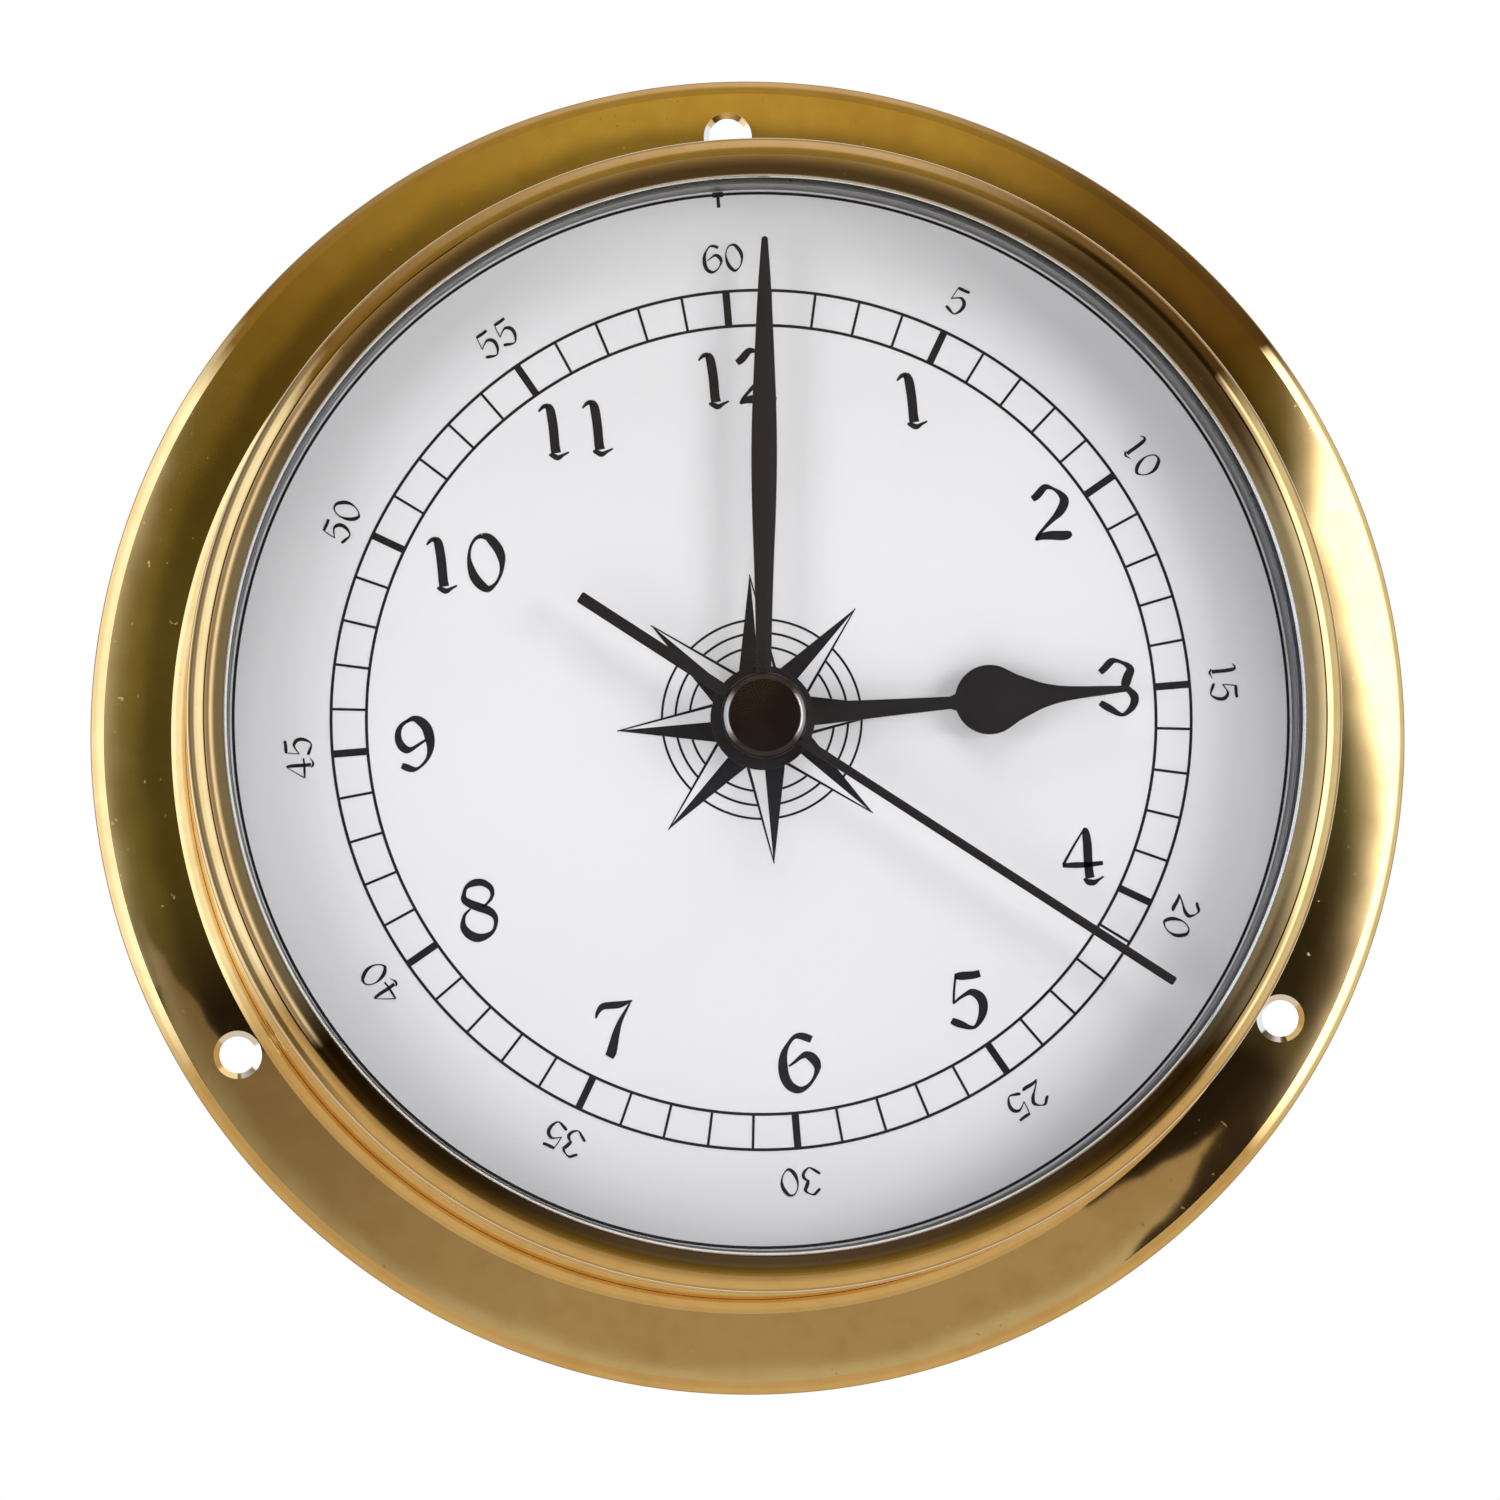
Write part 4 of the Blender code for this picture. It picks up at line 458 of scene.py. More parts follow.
def makeRingTree():  # Geometry Nodes: copies of a shape in a ring about the clock's axis
    tree = bpy.data.node_groups.new("ringOfCopies", "GeometryNodeTree")
    for name, kind in (("Geometry", "NodeSocketGeometry"), ("Copies", "NodeSocketInt"),
                       ("First Angle", "NodeSocketFloat"), ("Step Angle", "NodeSocketFloat"),
                       ("Material", "NodeSocketMaterial")):
        tree.interface.new_socket(name, in_out="INPUT", socket_type=kind)
    tree.interface.new_socket("Geometry", in_out="OUTPUT", socket_type="NodeSocketGeometry")
    net = Signal(tree)
    given = tree.nodes.new("NodeGroupInput").outputs
    given = {socket.name: Signal(tree, socket) for socket in given if socket.name}
    angle = net.node("GeometryNodeInputIndex") * given["Step Angle"] + given["First Angle"]
    turn = net.node("ShaderNodeCombineXYZ", None, {1: angle})
    points = net.node("GeometryNodePoints", None, {"Count": given["Copies"]})
    copies = net.node("GeometryNodeInstanceOnPoints", None,
                      {"Points": points, "Instance": given["Geometry"], "Rotation": turn})
    real = net.node("GeometryNodeRealizeInstances", None, {0: copies})
    dressed = net.node("GeometryNodeSetMaterial", None, {"Geometry": real, "Material": given["Material"]})
    result = tree.nodes.new("NodeGroupOutput")
    tree.links.new(dressed.socket, result.inputs[0])
    return tree


ringTree = makeRingTree()


def ringed(name, shape, copies, firstAngle, stepAngle, finish):  # angles are clockwise degrees
    piece = linked(name, smoothMesh(name, shape))
    modifier = piece.modifiers.new("ring", "NODES")
    modifier.node_group = ringTree
    values = {"Copies": copies, "First Angle": math.radians(firstAngle),
              "Step Angle": math.radians(stepAngle), "Material": finishes[finish]}
    for socket in ringTree.interface.items_tree:
        if socket.in_out == "INPUT" and socket.name in values:
            modifier[socket.identifier] = values[socket.name]
    mesh = plainMesh(piece)
    piece.modifiers.remove(modifier)
    bpy.data.objects.remove(piece)
    mesh.shade_smooth()
    mesh.set_sharp_from_angle(angle=math.radians(30.0))
    return mesh


case = {"bore": 46.605, "spigot": 47.605, "glassFront": 36.4, "drumFront": 33.0, "drumTop": 48.905,
        "drum": 49.205, "drumEdge": 0.3, "fillet": 1.2, "flange": 57.505, "thickness": 3.0,
        "rimRounds": [(2.2, -25.0), (0.35, -90.0)], "backRound": 0.4, "ledge": 44.305, "ledgeBack": 23.0,
        "ledgeFront": 24.8, "steps": 288}


def makeCase():
    profile = [(case["bore"], case["glassFront"]), (case["spigot"], case["glassFront"]),
               (case["spigot"], case["drumFront"]), (case["drumTop"] - case["drumEdge"], case["drumFront"])]
    profile += swept(profile[-1], case["drumEdge"], 0.0, -90.0, 15.0)
    profile.append((case["drum"], case["thickness"] + case["fillet"]))
    profile += swept(profile[-1], case["fillet"], -90.0, 0.0, 7.5)
    rimWidth = addRounds([(0.0, 0.0)], case["rimRounds"])[-1][0]
    profile.append((case["flange"] - rimWidth, case["thickness"]))
    addRounds(profile, case["rimRounds"])
    profile.append((case["flange"], case["backRound"]))
    profile += swept(profile[-1], case["backRound"], -90.0, -180.0, 15.0)
    profile += [(case["bore"], 0.0), (case["bore"], case["ledgeBack"]), (case["ledge"], case["ledgeBack"]),
                (case["ledge"], case["ledgeFront"]), (case["bore"], case["ledgeFront"])]
    hole, wide, deep = wallHoles["radius"], wallHoles["countersink"], wallHoles["countersinkDepth"]
    past = case["thickness"] + 1.0  # a cutter stands out 1 mm past both faces
    cutter = [(0.0, -1.0), (hole, -1.0), (hole, case["thickness"] - deep),
              (wide + (wide - hole) / deep, past), (0.0, past)]
    cutters = holeCutters(cutter, 48, wallHoles["circle"], wallHoles["angles"])
    mesh = cutAway(smoothMesh("caseTurned", turnedShape(profile, case["steps"])), cutters, "caseTurned")
    addPiece("caseTurned", mesh, "clock_case", "brass", "brass", "case_body")


bezel = {"lip": 45.405, "lipBack": 36.6, "lipRise": 0.2, "slope": 0.9, "crest": 38.0, "skirtBore": 47.805,
         "skirt": 48.705, "skirtBack": 33.4, "steps": 288,
         "rounds": [(0.35, 55.0), (2.35, 0.0), (1.6, -40.0), (0.8, -90.0)]}


def makeBezel():
    profile = [(bezel["lip"], bezel["lipBack"]), (bezel["lip"], bezel["lipBack"] + bezel["lipRise"])]
    addRounds(profile, bezel["rounds"], 90.0)
    lift = bezel["crest"] - max(height for radius, height in profile)
    shift = bezel["skirt"] - profile[-1][0]
    # the inner slope keeps its place, and the crest and the outside are moved to their own sizes
    profile = [profile[0]] + [(radius + shift * (radius > bezel["lip"] + bezel["slope"]), height + lift)
                              for radius, height in profile[1:]]
    profile += [(bezel["skirt"], bezel["skirtBack"]), (bezel["skirtBore"], bezel["skirtBack"]),
                (bezel["skirtBore"], bezel["lipBack"])]
    mesh = smoothMesh("bezelTurned", turnedShape(profile, bezel["steps"]))
    addPiece("bezelTurned", mesh, "clock_case", "brass", "brass", "bezel_ring")


rehaut = {"inner": 45.18, "outer": 46.305, "back": 28.8, "front": 33.9, "round": 0.15, "steps": 240}


def makeRehaut():
    profile = [(rehaut["inner"], rehaut["back"]), (rehaut["inner"], rehaut["front"] - rehaut["round"])]
    profile += swept(profile[-1], rehaut["round"], 90.0, 0.0, 30.0)
    profile += [(rehaut["outer"], rehaut["front"]), (rehaut["outer"], rehaut["back"])]
    mesh = smoothMesh("rehautTurned", turnedShape(profile, rehaut["steps"]))
    addPiece("rehautTurned", mesh, "clock_case", "satin_metal", "satin_metal", "rehaut_ring")


makeCase()
makeBezel()
makeRehaut()
print("case: brass case, bezel and the grey ring are turned")


coverScrews = {"circle": 41.705, "angles": (60.0, 180.0, 300.0)}
cover = {"radius": 46.305, "back": 1.0, "web": 2.0, "front": 5.6, "webRadius": 39.405, "groove": 43.605,
         "grooveHalf": 0.9, "edge": 0.3, "counterbore": 2.0, "counterboreDepth": 1.6, "screwHole": 1.05,
         "steps": 192}


def makeCover():
    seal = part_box("rear_seal")
    middle = -(seal[0].y + seal[1].y) / 2 / mm
    grooveBack, grooveFront = middle - cover["grooveHalf"], middle + cover["grooveHalf"]
    profile = [(0.0, cover["back"] + cover["web"]), (cover["webRadius"], cover["back"] + cover["web"]),
               (cover["webRadius"], cover["front"]), (cover["radius"], cover["front"]),
               (cover["radius"], grooveFront), (cover["groove"], grooveFront), (cover["groove"], grooveBack),
               (cover["radius"], grooveBack), (cover["radius"], cover["back"] + cover["edge"])]
    profile += swept(profile[-1], cover["edge"], -90.0, -180.0, 22.5)
    profile.append((0.0, cover["back"]))
    seat, past = cover["back"] + cover["counterboreDepth"], cover["front"] + 1.0
    cutter = [(0.0, -1.0), (cover["counterbore"], -1.0), (cover["counterbore"], seat),
              (cover["screwHole"], seat), (cover["screwHole"], past), (0.0, past)]
    cutters = holeCutters(cutter, 40, coverScrews["circle"], coverScrews["angles"])
    mesh = smoothMesh("coverTurned", turnedShape(profile, cover["steps"], False))
    mesh = cutAway(mesh, cutters, "coverTurned")
    addPiece("coverTurned", mesh, "clock_case", "black_plastic", "black_plastic", "rear_cover")


screw = {"headBack": 1.1, "headHeight": 1.4, "head": 1.8, "length": 8.5, "shank": 0.9, "plain": 0.6,
         "slotWidth": 0.5, "slotDepth": 0.7, "edge": 0.25, "pitch": 0.5, "cut": 0.18, "point": 0.35}


def makeScrews():
    profile = [(0.0, screw["headBack"]), (screw["head"] - screw["edge"], screw["headBack"])]
    top = screw["headBack"] + screw["headHeight"]
    profile += [(screw["head"], screw["headBack"] + screw["edge"]), (screw["head"], top),
                (screw["shank"], top)]
    height = top + screw["plain"]
    tip = screw["headBack"] + screw["length"]
    while height + screw["pitch"] < tip - 0.3:  # rings stand for the fine thread
        profile += [(screw["shank"], height), (screw["shank"] - screw["cut"], height + screw["pitch"] / 2)]
        height += screw["pitch"]
    profile += [(screw["shank"] - 0.1, tip - 0.2), (screw["shank"] - screw["point"], tip), (0.0, tip)]
    mesh = smoothMesh("coverScrew", turnedShape(profile, 40, False, (0.0, coverScrews["circle"])))
    slot = bmesh.new()
    bmesh.ops.create_cube(slot, size=1.0)
    size = (5.0 * mm, 2 * screw["slotDepth"] * mm, screw["slotWidth"] * mm)
    bmesh.ops.scale(slot, verts=slot.verts, vec=size)
    middle = (0.0, -screw["headBack"] * mm, coverScrews["circle"] * mm)
    bmesh.ops.translate(slot, verts=slot.verts, vec=middle)
    shape = bmesh.new()
    shape.from_mesh(cutAway(mesh, [slot], "coverScrew"))
    first, second, *others = coverScrews["angles"]
    copies = ringed("coverScrews", shape, 2 + len(others), first, second - first, "steel")
    addPiece("coverScrews", copies, "clock_case", "steel", "steel",
             "cover_screw_1", "cover_screw_2", "cover_screw_3")


makeCover()
makeScrews()
print("back: cover and cover screws")


dial = {"front": 28.6, "turn": -2.74, "sunk": 0.01, "trackOuter": 36.6, "trackInner": 33.6, "trackLine": 0.25,
        "thinTick": 0.22, "thickTick": 0.62, "border": 44.90, "borderLine": 0.24, "numeralHeight": 5.0,
        "minuteHeight": 2.45, "minuteRadius": 39.45, "spacing": 0.75, "mark": 1.1, "markLine": 0.28,
        "markArm": 0.9, "markArmLine": 0.44, "markTop": 0.040, "inkTop": 0.035}
# strokes of each digit: points (across, up, width) in hundredths of the digit's height
digitStrokes = {
    "0": [[(-2, 45, 9), (8, 42, 13), (16, 33, 16), (24, 20, 16), (28, 6, 14), (28, -7, 9), (25, -21, 6),
           (18, -34, 5), (10, -42, 7), (0, -46, 12), (-11, -38, 16), (-20, -25, 16), (-25, -9, 12),
           (-27, 7, 7), (-25, 21, 5), (-20, 33, 5), (-12, 42, 6), (-2, 45, 9)]],
    "1": [[(-6, 47, 10), (-2, 38, 15), (0, 20, 16), (1, -3, 16), (1, -24, 16), (2, -36, 17)],
          [(-22, 37, 3), (-13, 45, 7), (-5, 45, 10)],
          [(-10, -37, 4), (-2, -41, 9), (5, -44, 9), (14, -40, 5), (24, -36, 3)]],
    "2": [[(-32, 28, 10), (-23, 34, 13), (-12, 45, 12), (-5, 47, 9), (5, 43, 5), (15, 35, 9), (22, 24, 15),
           (20, 14, 16), (12, 2, 14), (1, -8, 9), (-14, -21, 6), (-27, -34, 5), (-32, -42, 4)],
          [(-32, -42, 4), (-22, -37, 11), (-6, -36, 15), (14, -38, 16), (24, -37, 14), (30, -35, 7)]],
    "3": [[(-28, 29, 10), (-19, 36, 12), (-8, 46, 12), (1, 47, 7), (11, 43, 6), (20, 37, 10), (24, 29, 14),
           (19, 19, 16), (14, 7, 16), (11, 0, 10)],
          [(7, -1, 5), (18, -5, 10), (26, -14, 14), (27, -23, 14), (22, -34, 12), (12, -43, 8), (4, -46, 6),
           (-5, -42, 9), (-16, -34, 12), (-26, -27, 12), (-32, -22, 9)]],
    "4": [[(6, 47, 3), (-16, 17, 4), (-36, -13, 5)],
          [(6, 47, 4), (7, 40, 12), (8, 20, 15), (7, -7, 15), (7, -28, 15), (8, -39, 16)],
          [(-37, -14, 7), (-15, -15, 10), (6, -16, 9), (32, -15, 7)],
          [(-3, -39, 3), (4, -45, 10), (13, -47, 10), (22, -43, 5), (31, -38, 3)]],
    "5": [[(-21, 43, 9), (-10, 43, 14), (10, 43, 13), (22, 45, 12)],
          [(-19, 48, 4), (-24, 22, 4), (-27, -2, 4)],
          [(-28, -3, 3), (-17, 5, 5), (-4, 12, 7), (6, 14, 12), (18, 6, 16), (23, -7, 16), (21, -22, 14),
           (15, -35, 10), (6, -45, 6), (-4, -45, 8), (-15, -40, 12), (-26, -35, 13), (-33, -31, 10)]],
    "6": [[(24, 38, 12), (14, 43, 13), (4, 46, 11), (-6, 44, 7), (-17, 32, 7), (-25, 17, 12), (-28, -1, 16),
           (-27, -20, 17), (-20, -36, 16), (-9, -44, 14), (1, -45, 10), (14, -38, 6), (24, -26, 6),
           (30, -13, 10)],
          [(-18, -4, 3), (-8, 2, 5), (2, 9, 7), (12, 13, 12), (22, 8, 16), (29, -2, 15), (31, -14, 10)]],
    "7": [[(-28, 24, 3), (-24, 34, 7), (-15, 43, 11), (-3, 44, 12), (12, 44, 12), (24, 46, 8), (36, 49, 3)],
          [(32, 45, 3), (23, 32, 5), (13, 16, 8), (5, -2, 12), (-1, -20, 15), (-6, -35, 17), (-11, -43, 15)]],
    "8": [[(20, 14, 5), (25, 25, 7), (22, 37, 10), (9, 46, 12), (-6, 46, 12), (-18, 40, 7), (-23, 29, 7),
           (-23, 19, 12), (-13, 11, 14), (2, 4, 15), (17, -3, 14), (26, -13, 10), (27, -24, 7), (22, -37, 6),
           (10, -45, 10), (-6, -47, 15), (-20, -40, 15), (-28, -28, 12), (-28, -16, 7), (-24, -6, 5),
           (-14, 3, 3)],
          [(20, 15, 5), (14, 9, 4), (5, 4, 3)]],
    "9": [[(-10, 41, 5), (2, 46, 9), (14, 41, 15), (24, 29, 17), (28, 11, 17), (28, -6, 12), (23, -21, 7),
           (14, -32, 5), (4, -39, 5), (-5, -40, 10), (-15, -36, 12), (-23, -32, 10)],
          [(-5, 44, 5), (-17, 37, 7), (-24, 26, 10), (-25, 12, 12), (-20, 0, 14), (-12, -6, 13), (-3, -5, 7),
           (10, 2, 5), (21, 8, 4)]],
}
# radius and clockwise angle of each hour numeral's middle on the dial
hourPlaces = {"1": (30.0, 30.0), "2": (30.37, 59.5), "3": (30.46, 89.7), "4": (29.74, 117.7),
              "5": (29.73, 148.4), "6": (29.41, 178.6), "7": (29.39, 210.2), "8": (29.02, 240.7),
              "9": (29.67, 270.3), "10": (28.6, 302.2), "11": (29.25, 331.9), "12": (29.05, 0.3)}


def onDial(x, y, lift):  # dial millimetres, to the right and up, to the frame
    turn = math.radians(dial["turn"])
    return Vector((x * math.cos(turn) + y * math.sin(turn), -(dial["front"] + lift),
                   y * math.cos(turn) - x * math.sin(turn))) * mm


def addStrip(shape, left, right, top, closed=False):
    # a thin solid between two rows of points; top is its height above the dial
    rows = [[shape.verts.new(onDial(x, y, lift)) for x, y in row]
            for row, lift in ((left, top), (right, top), (right, -dial["sunk"]), (left, -dial["sunk"]))]
    count = len(left)
    for index in range(count if closed else count - 1):
        after = (index + 1) % count
        for row, other in zip(rows, rows[1:] + rows[:1]):
            shape.faces.new((row[index], row[after], other[after], other[index]))
    if not closed:
        shape.faces.new([row[0] for row in rows])
        shape.faces.new([row[-1] for row in reversed(rows)])


def smoothRun(points, perSpan=4):  # a curve through the points, any number of values each
    run = []
    ends = [points[0]] + list(points) + [points[-1]]
    for before, start, end, after in zip(ends, ends[1:], ends[2:], ends[3:]):
        for step in range(perSpan):
            t = step / perSpan
            run.append(tuple(0.5 * (2 * b + (c - a) * t + (2 * a - 5 * b + 4 * c - d) * t ** 2
                                    + (3 * b - a - 3 * c + d) * t ** 3)
                             for a, b, c, d in zip(before, start, end, after)))
    return run + [tuple(points[-1])]


def addStroke(shape, points, size, weight, place):
    # place turns (across, up) in digit heights to dial millimetres
    run = smoothRun(points)
    left, right = [], []
    for index, (x, y, width) in enumerate(run):
        ahead, behind = run[min(index + 1, len(run) - 1)], run[max(index - 1, 0)]
        along = Vector((ahead[0] - behind[0], ahead[1] - behind[1])).normalized()
        half = max(width, 3.0) * weight / 2
        left.append(place((x - along.y * half) * size / 100, (y + along.x * half) * size / 100))
        right.append(place((x + along.y * half) * size / 100, (y - along.x * half) * size / 100))
    addStrip(shape, left, right, dial["inkTop"])


def addNumber(shape, text, size, middle, turn, weight=1.0):  # turn is clockwise, in degrees
    c, s = math.cos(math.radians(turn)), math.sin(math.radians(turn))
    for index, digit in enumerate(text):
        shift = (index - (len(text) - 1) / 2) * dial["spacing"] * size
        for stroke in digitStrokes[digit]:
            addStroke(shape, stroke, size, weight, lambda x, y, shift=shift: (
                middle[0] + (x + shift) * c + y * s, middle[1] + y * c - (x + shift) * s))


def ringRow(radius, first=0.0, last=360.0, points=240, closed=True):
    count = points if closed else points - 1
    return [around(radius, first + (last - first) * index / count) for index in range(points)]


def addRing(shape, radius, width, top, points=240):
    inner, outer = [ringRow(radius + side * width / 2, points=points) for side in (-1, 1)]
    addStrip(shape, inner, outer, top, True)


def joined(name, meshes):
    shape = bmesh.new()
    for mesh in meshes:
        shape.from_mesh(mesh)
        bpy.data.meshes.remove(mesh)
    mesh = bpy.data.meshes.new(name)
    shape.to_mesh(mesh)
    shape.free()
    return mesh


def addUpright(shape, width, low, high, top, lowWidth=None):  # a line up the middle of the dial
    half = width / 2
    lowHalf = half if lowWidth is None else lowWidth / 2
    addStrip(shape, [(-lowHalf, low), (-half, high)], [(lowHalf, low), (half, high)], top)


def makeTrack():
    border, inkTop = dial["border"], dial["inkTop"]
    ink = bmesh.new()
    for radius in (dial["trackInner"], dial["trackOuter"]):
        addRing(ink, radius, dial["trackLine"], inkTop)
    addRing(ink, border, dial["borderLine"], inkTop, 288)
    addUpright(ink, dial["markLine"], border - dial["mark"], border, dial["markTop"])
    reach = math.degrees(dial["markArm"] / 2 / border)
    inner, outer = [ringRow(border + side * dial["markArmLine"] / 2, -reach, reach, 6, False)
                    for side in (-1, 1)]
    addStrip(ink, inner, outer, dial["markTop"])
    meshes = [smoothMesh("circles", ink)]
    low, high = dial["trackInner"] + dial["trackLine"] / 2, dial["trackOuter"] - dial["trackLine"] / 2
    thick = bmesh.new()
    addUpright(thick, dial["thickTick"], low, high, inkTop)
    meshes.append(ringed("thickTicks", thick, 12, 0.0, 30.0, "ink"))
    thin = bmesh.new()
    half = dial["thinTick"] / 2
    for tick in range(1, 5):  # the four plain minutes between two hours
        c, s = math.cos(math.radians(6.0 * tick)), math.sin(math.radians(6.0 * tick))
        left, right = [[(side * half * c + radius * s, radius * c - side * half * s)
                        for radius in (low, high)] for side in (-1, 1)]
        addStrip(thin, left, right, inkTop)
    meshes.append(ringed("thinTicks", thin, 12, 0.0, 30.0, "ink"))
    addPiece("minuteTrack", joined("minuteTrack", meshes), "clock_case", "dial", "ink")


def makeNumbers():
    hours = bmesh.new()
    for text, (radius, angle) in hourPlaces.items():
        addNumber(hours, text, dial["numeralHeight"], around(radius, angle), 0.0)
    addPiece("hourNumerals", smoothMesh("hourNumerals", hours), "clock_case", "dial", "ink")
    minutes = bmesh.new()
    for minute in range(5, 65, 5):
        addNumber(minutes, str(minute), dial["minuteHeight"], around(dial["minuteRadius"], 6.0 * minute),
                  6.0 * minute, 0.8)
    addPiece("minuteNumbers", smoothMesh("minuteNumbers", minutes), "clock_case", "dial", "ink")


rose = {"tip": 12.35, "valley": 4.3, "points": 8, "circles": (8.5, 7.35, 6.15), "line": 0.20, "outline": 0.26,
        "foot": 0.6, "seamFoot": 0.8, "blunt": 0.02, "circleTop": 0.020, "whiteTop": 0.030, "darkTop": 0.040,
        "seamTop": 0.042}


def roseHalfAngle(radius):  # the clockwise angle where a circle leaves the side of a point
    right = Vector(around(rose["valley"], 22.5))
    tip = Vector((0.0, rose["tip"]))
    for step in range(200):
        spot = right.lerp(tip, step / 200)
        if spot.length >= radius:
            return math.degrees(math.atan2(spot.x, spot.y))
    return 0.0


def makeRose():
    # each point has a dark half on its anticlockwise side and an outlined white half on its clockwise side
    tipHeight, blunt = rose["tip"], rose["blunt"]
    foot, tip = (0.0, rose["foot"]), (0.0, tipHeight)
    left, right = around(rose["valley"], -22.5), around(rose["valley"], 22.5)
    dark = bmesh.new()
    addStrip(dark, [foot, tip], [left, (-blunt, tipHeight - 0.05)], rose["darkTop"])
    white = bmesh.new()
    addStrip(white, [foot, tip], [right, (blunt, tipHeight - 0.05)], rose["whiteTop"])
    edge = Vector(tip) - Vector(right)
    aside = Vector((edge.y, -edge.x)).normalized() * rose["outline"]
    outline = [tuple(Vector(right) - aside), tuple(Vector(tip) - aside * 0.3)]
    addStrip(dark, outline, [right, (blunt, tipHeight)], rose["darkTop"])
    addUpright(dark, 2 * blunt, rose["seamFoot"], tipHeight, rose["seamTop"], rose["outline"])
    arcs = bmesh.new()
    for radius in rose["circles"]:
        reach = roseHalfAngle(radius)
        inner, outer = [ringRow(radius + side * rose["line"] / 2, reach, 45.0 - reach, 9, False)
                        for side in (-1, 1)]
        addStrip(arcs, inner, outer, rose["circleTop"])
    step = 360.0 / rose["points"]
    ink = [ringed("rosePoints", dark, rose["points"], 0.0, step, "ink"),
           ringed("roseArcs", arcs, rose["points"], 0.0, step, "ink")]
    addPiece("compassRose", joined("compassRose", ink), "clock_case", "dial", "ink")
    paper = ringed("roseWhite", white, rose["points"], 0.0, step, "dial")
    addPiece("compassRoseWhite", paper, "clock_case", "dial", "dial")


makeTrack()
makeNumbers()
makeRose()
print("dial: track, numbers and compass rose are printed")


hourHand = {"angle": 87.35, "bevel": 0.07, "hub": 4.45, "hole": 2.3, "back": 30.2, "front": 30.8,
            "bulb": 2.95, "bulbReach": 19.35, "bulbEnd": 33.0, "shankHalf": 0.9,
            "shank": [(0.0, 1.08), (0.172, 1.0), (0.548, 0.78), (0.967, 0.58)],
            "pointLength": 10.54, "pointHalf": 1.94,
            "point": [(0.085, 1.0), (0.185, 0.763), (0.286, 0.541), (0.427, 0.356), (0.588, 0.263),
                      (0.790, 0.190), (0.975, 0.12)]}
minuteHand = {"angle": 2.2, "bevel": 0.07, "hub": 3.3, "hole": 1.45, "back": 31.9, "front": 32.3,
              "reach": 40.905, "leafHalf": 1.09,
              "leaf": [(0.08, 0.57), (0.196, 0.64), (0.318, 0.77), (0.440, 0.94), (0.550, 1.0),
                       (0.648, 0.93), (0.758, 0.76), (0.892, 0.52), (0.996, 0.24)]}
secondsHand = {"angle": 124.9, "bevel": 0.05, "hub": 2.0, "hole": 0.6, "back": 33.1, "front": 33.4,
               "reach": 41.405, "tail": 18.6, "frontHalf": 0.38, "tailHalf": 0.5, "endRound": 0.12}
cap = {"radius": 3.65, "back": 33.6, "front": 34.6, "steps": 96,
       "rounds": [(130.0, -1.3), (0.70, -62.0), (0.22, -90.0)]}


def circleSide(radius, startX, endX, centreY=0.0, points=21):  # the right side of a circle, going upwards
    start = -math.pi / 2 + math.asin(startX / radius)
    end = math.pi / 2 - math.asin(endX / radius)
    turns = [start + (end - start) * index / (points - 1) for index in range(points)]
    return [(radius * math.cos(turn), centreY + radius * math.sin(turn)) for turn in turns]


def mirrored(rightSide):
    return rightSide + [(-x, y) for x, y in reversed(rightSide) if x > 0]


def addHand(name, hand, outline, body, node):
    # a flat plate with softened edges, drawn upright and then turned to its place on the clock
    curve = bpy.data.curves.new(name, "CURVE")
    curve.dimensions = "2D"
    curve.fill_mode = "BOTH"
    curve.extrude = (hand["front"] - hand["back"]) / 2 - hand["bevel"]
    curve.bevel_depth = hand["bevel"]
    curve.bevel_resolution = 2
    curve.offset = -hand["bevel"]
    turns = [2 * math.pi * step / 40 for step in range(40)]
    holeRow = [(hand["hole"] * math.cos(turn), hand["hole"] * math.sin(turn)) for turn in turns]
    for row in (outline, holeRow):
        spline = curve.splines.new("POLY")
        spline.points.add(len(row) - 1)
        for point, (x, y) in zip(spline.points, row):
            point.co = (x, y, 0.0, 1.0)
        spline.use_cyclic_u = True
    guide = linked(name, curve)
    loose = plainMesh(guide)
    bpy.data.objects.remove(guide)
    shape = bmesh.new()
    shape.from_mesh(loose)
    bpy.data.meshes.remove(loose)
    bmesh.ops.remove_doubles(shape, verts=shape.verts, dist=0.002)
    middle = (hand["back"] + hand["front"]) / 2
    upright = Matrix(((1, 0, 0, 0), (0, 0, -1, -middle), (0, 1, 0, 0), (0, 0, 0, 1)))
    turned = Matrix.Rotation(math.radians(hand["angle"]), 4, "Y")
    bmesh.ops.transform(shape, matrix=Matrix.Scale(mm, 4) @ turned @ upright, verts=shape.verts)
    addPiece(name, smoothMesh(name, shape, 40.0), body, "hand", "hand", node)


def softRun(hand, widths, half, low, length):  # the right side of a tapering stretch of a hand
    return smoothRun([(hand[half] * width, low + length * share) for share, width in hand[widths]])


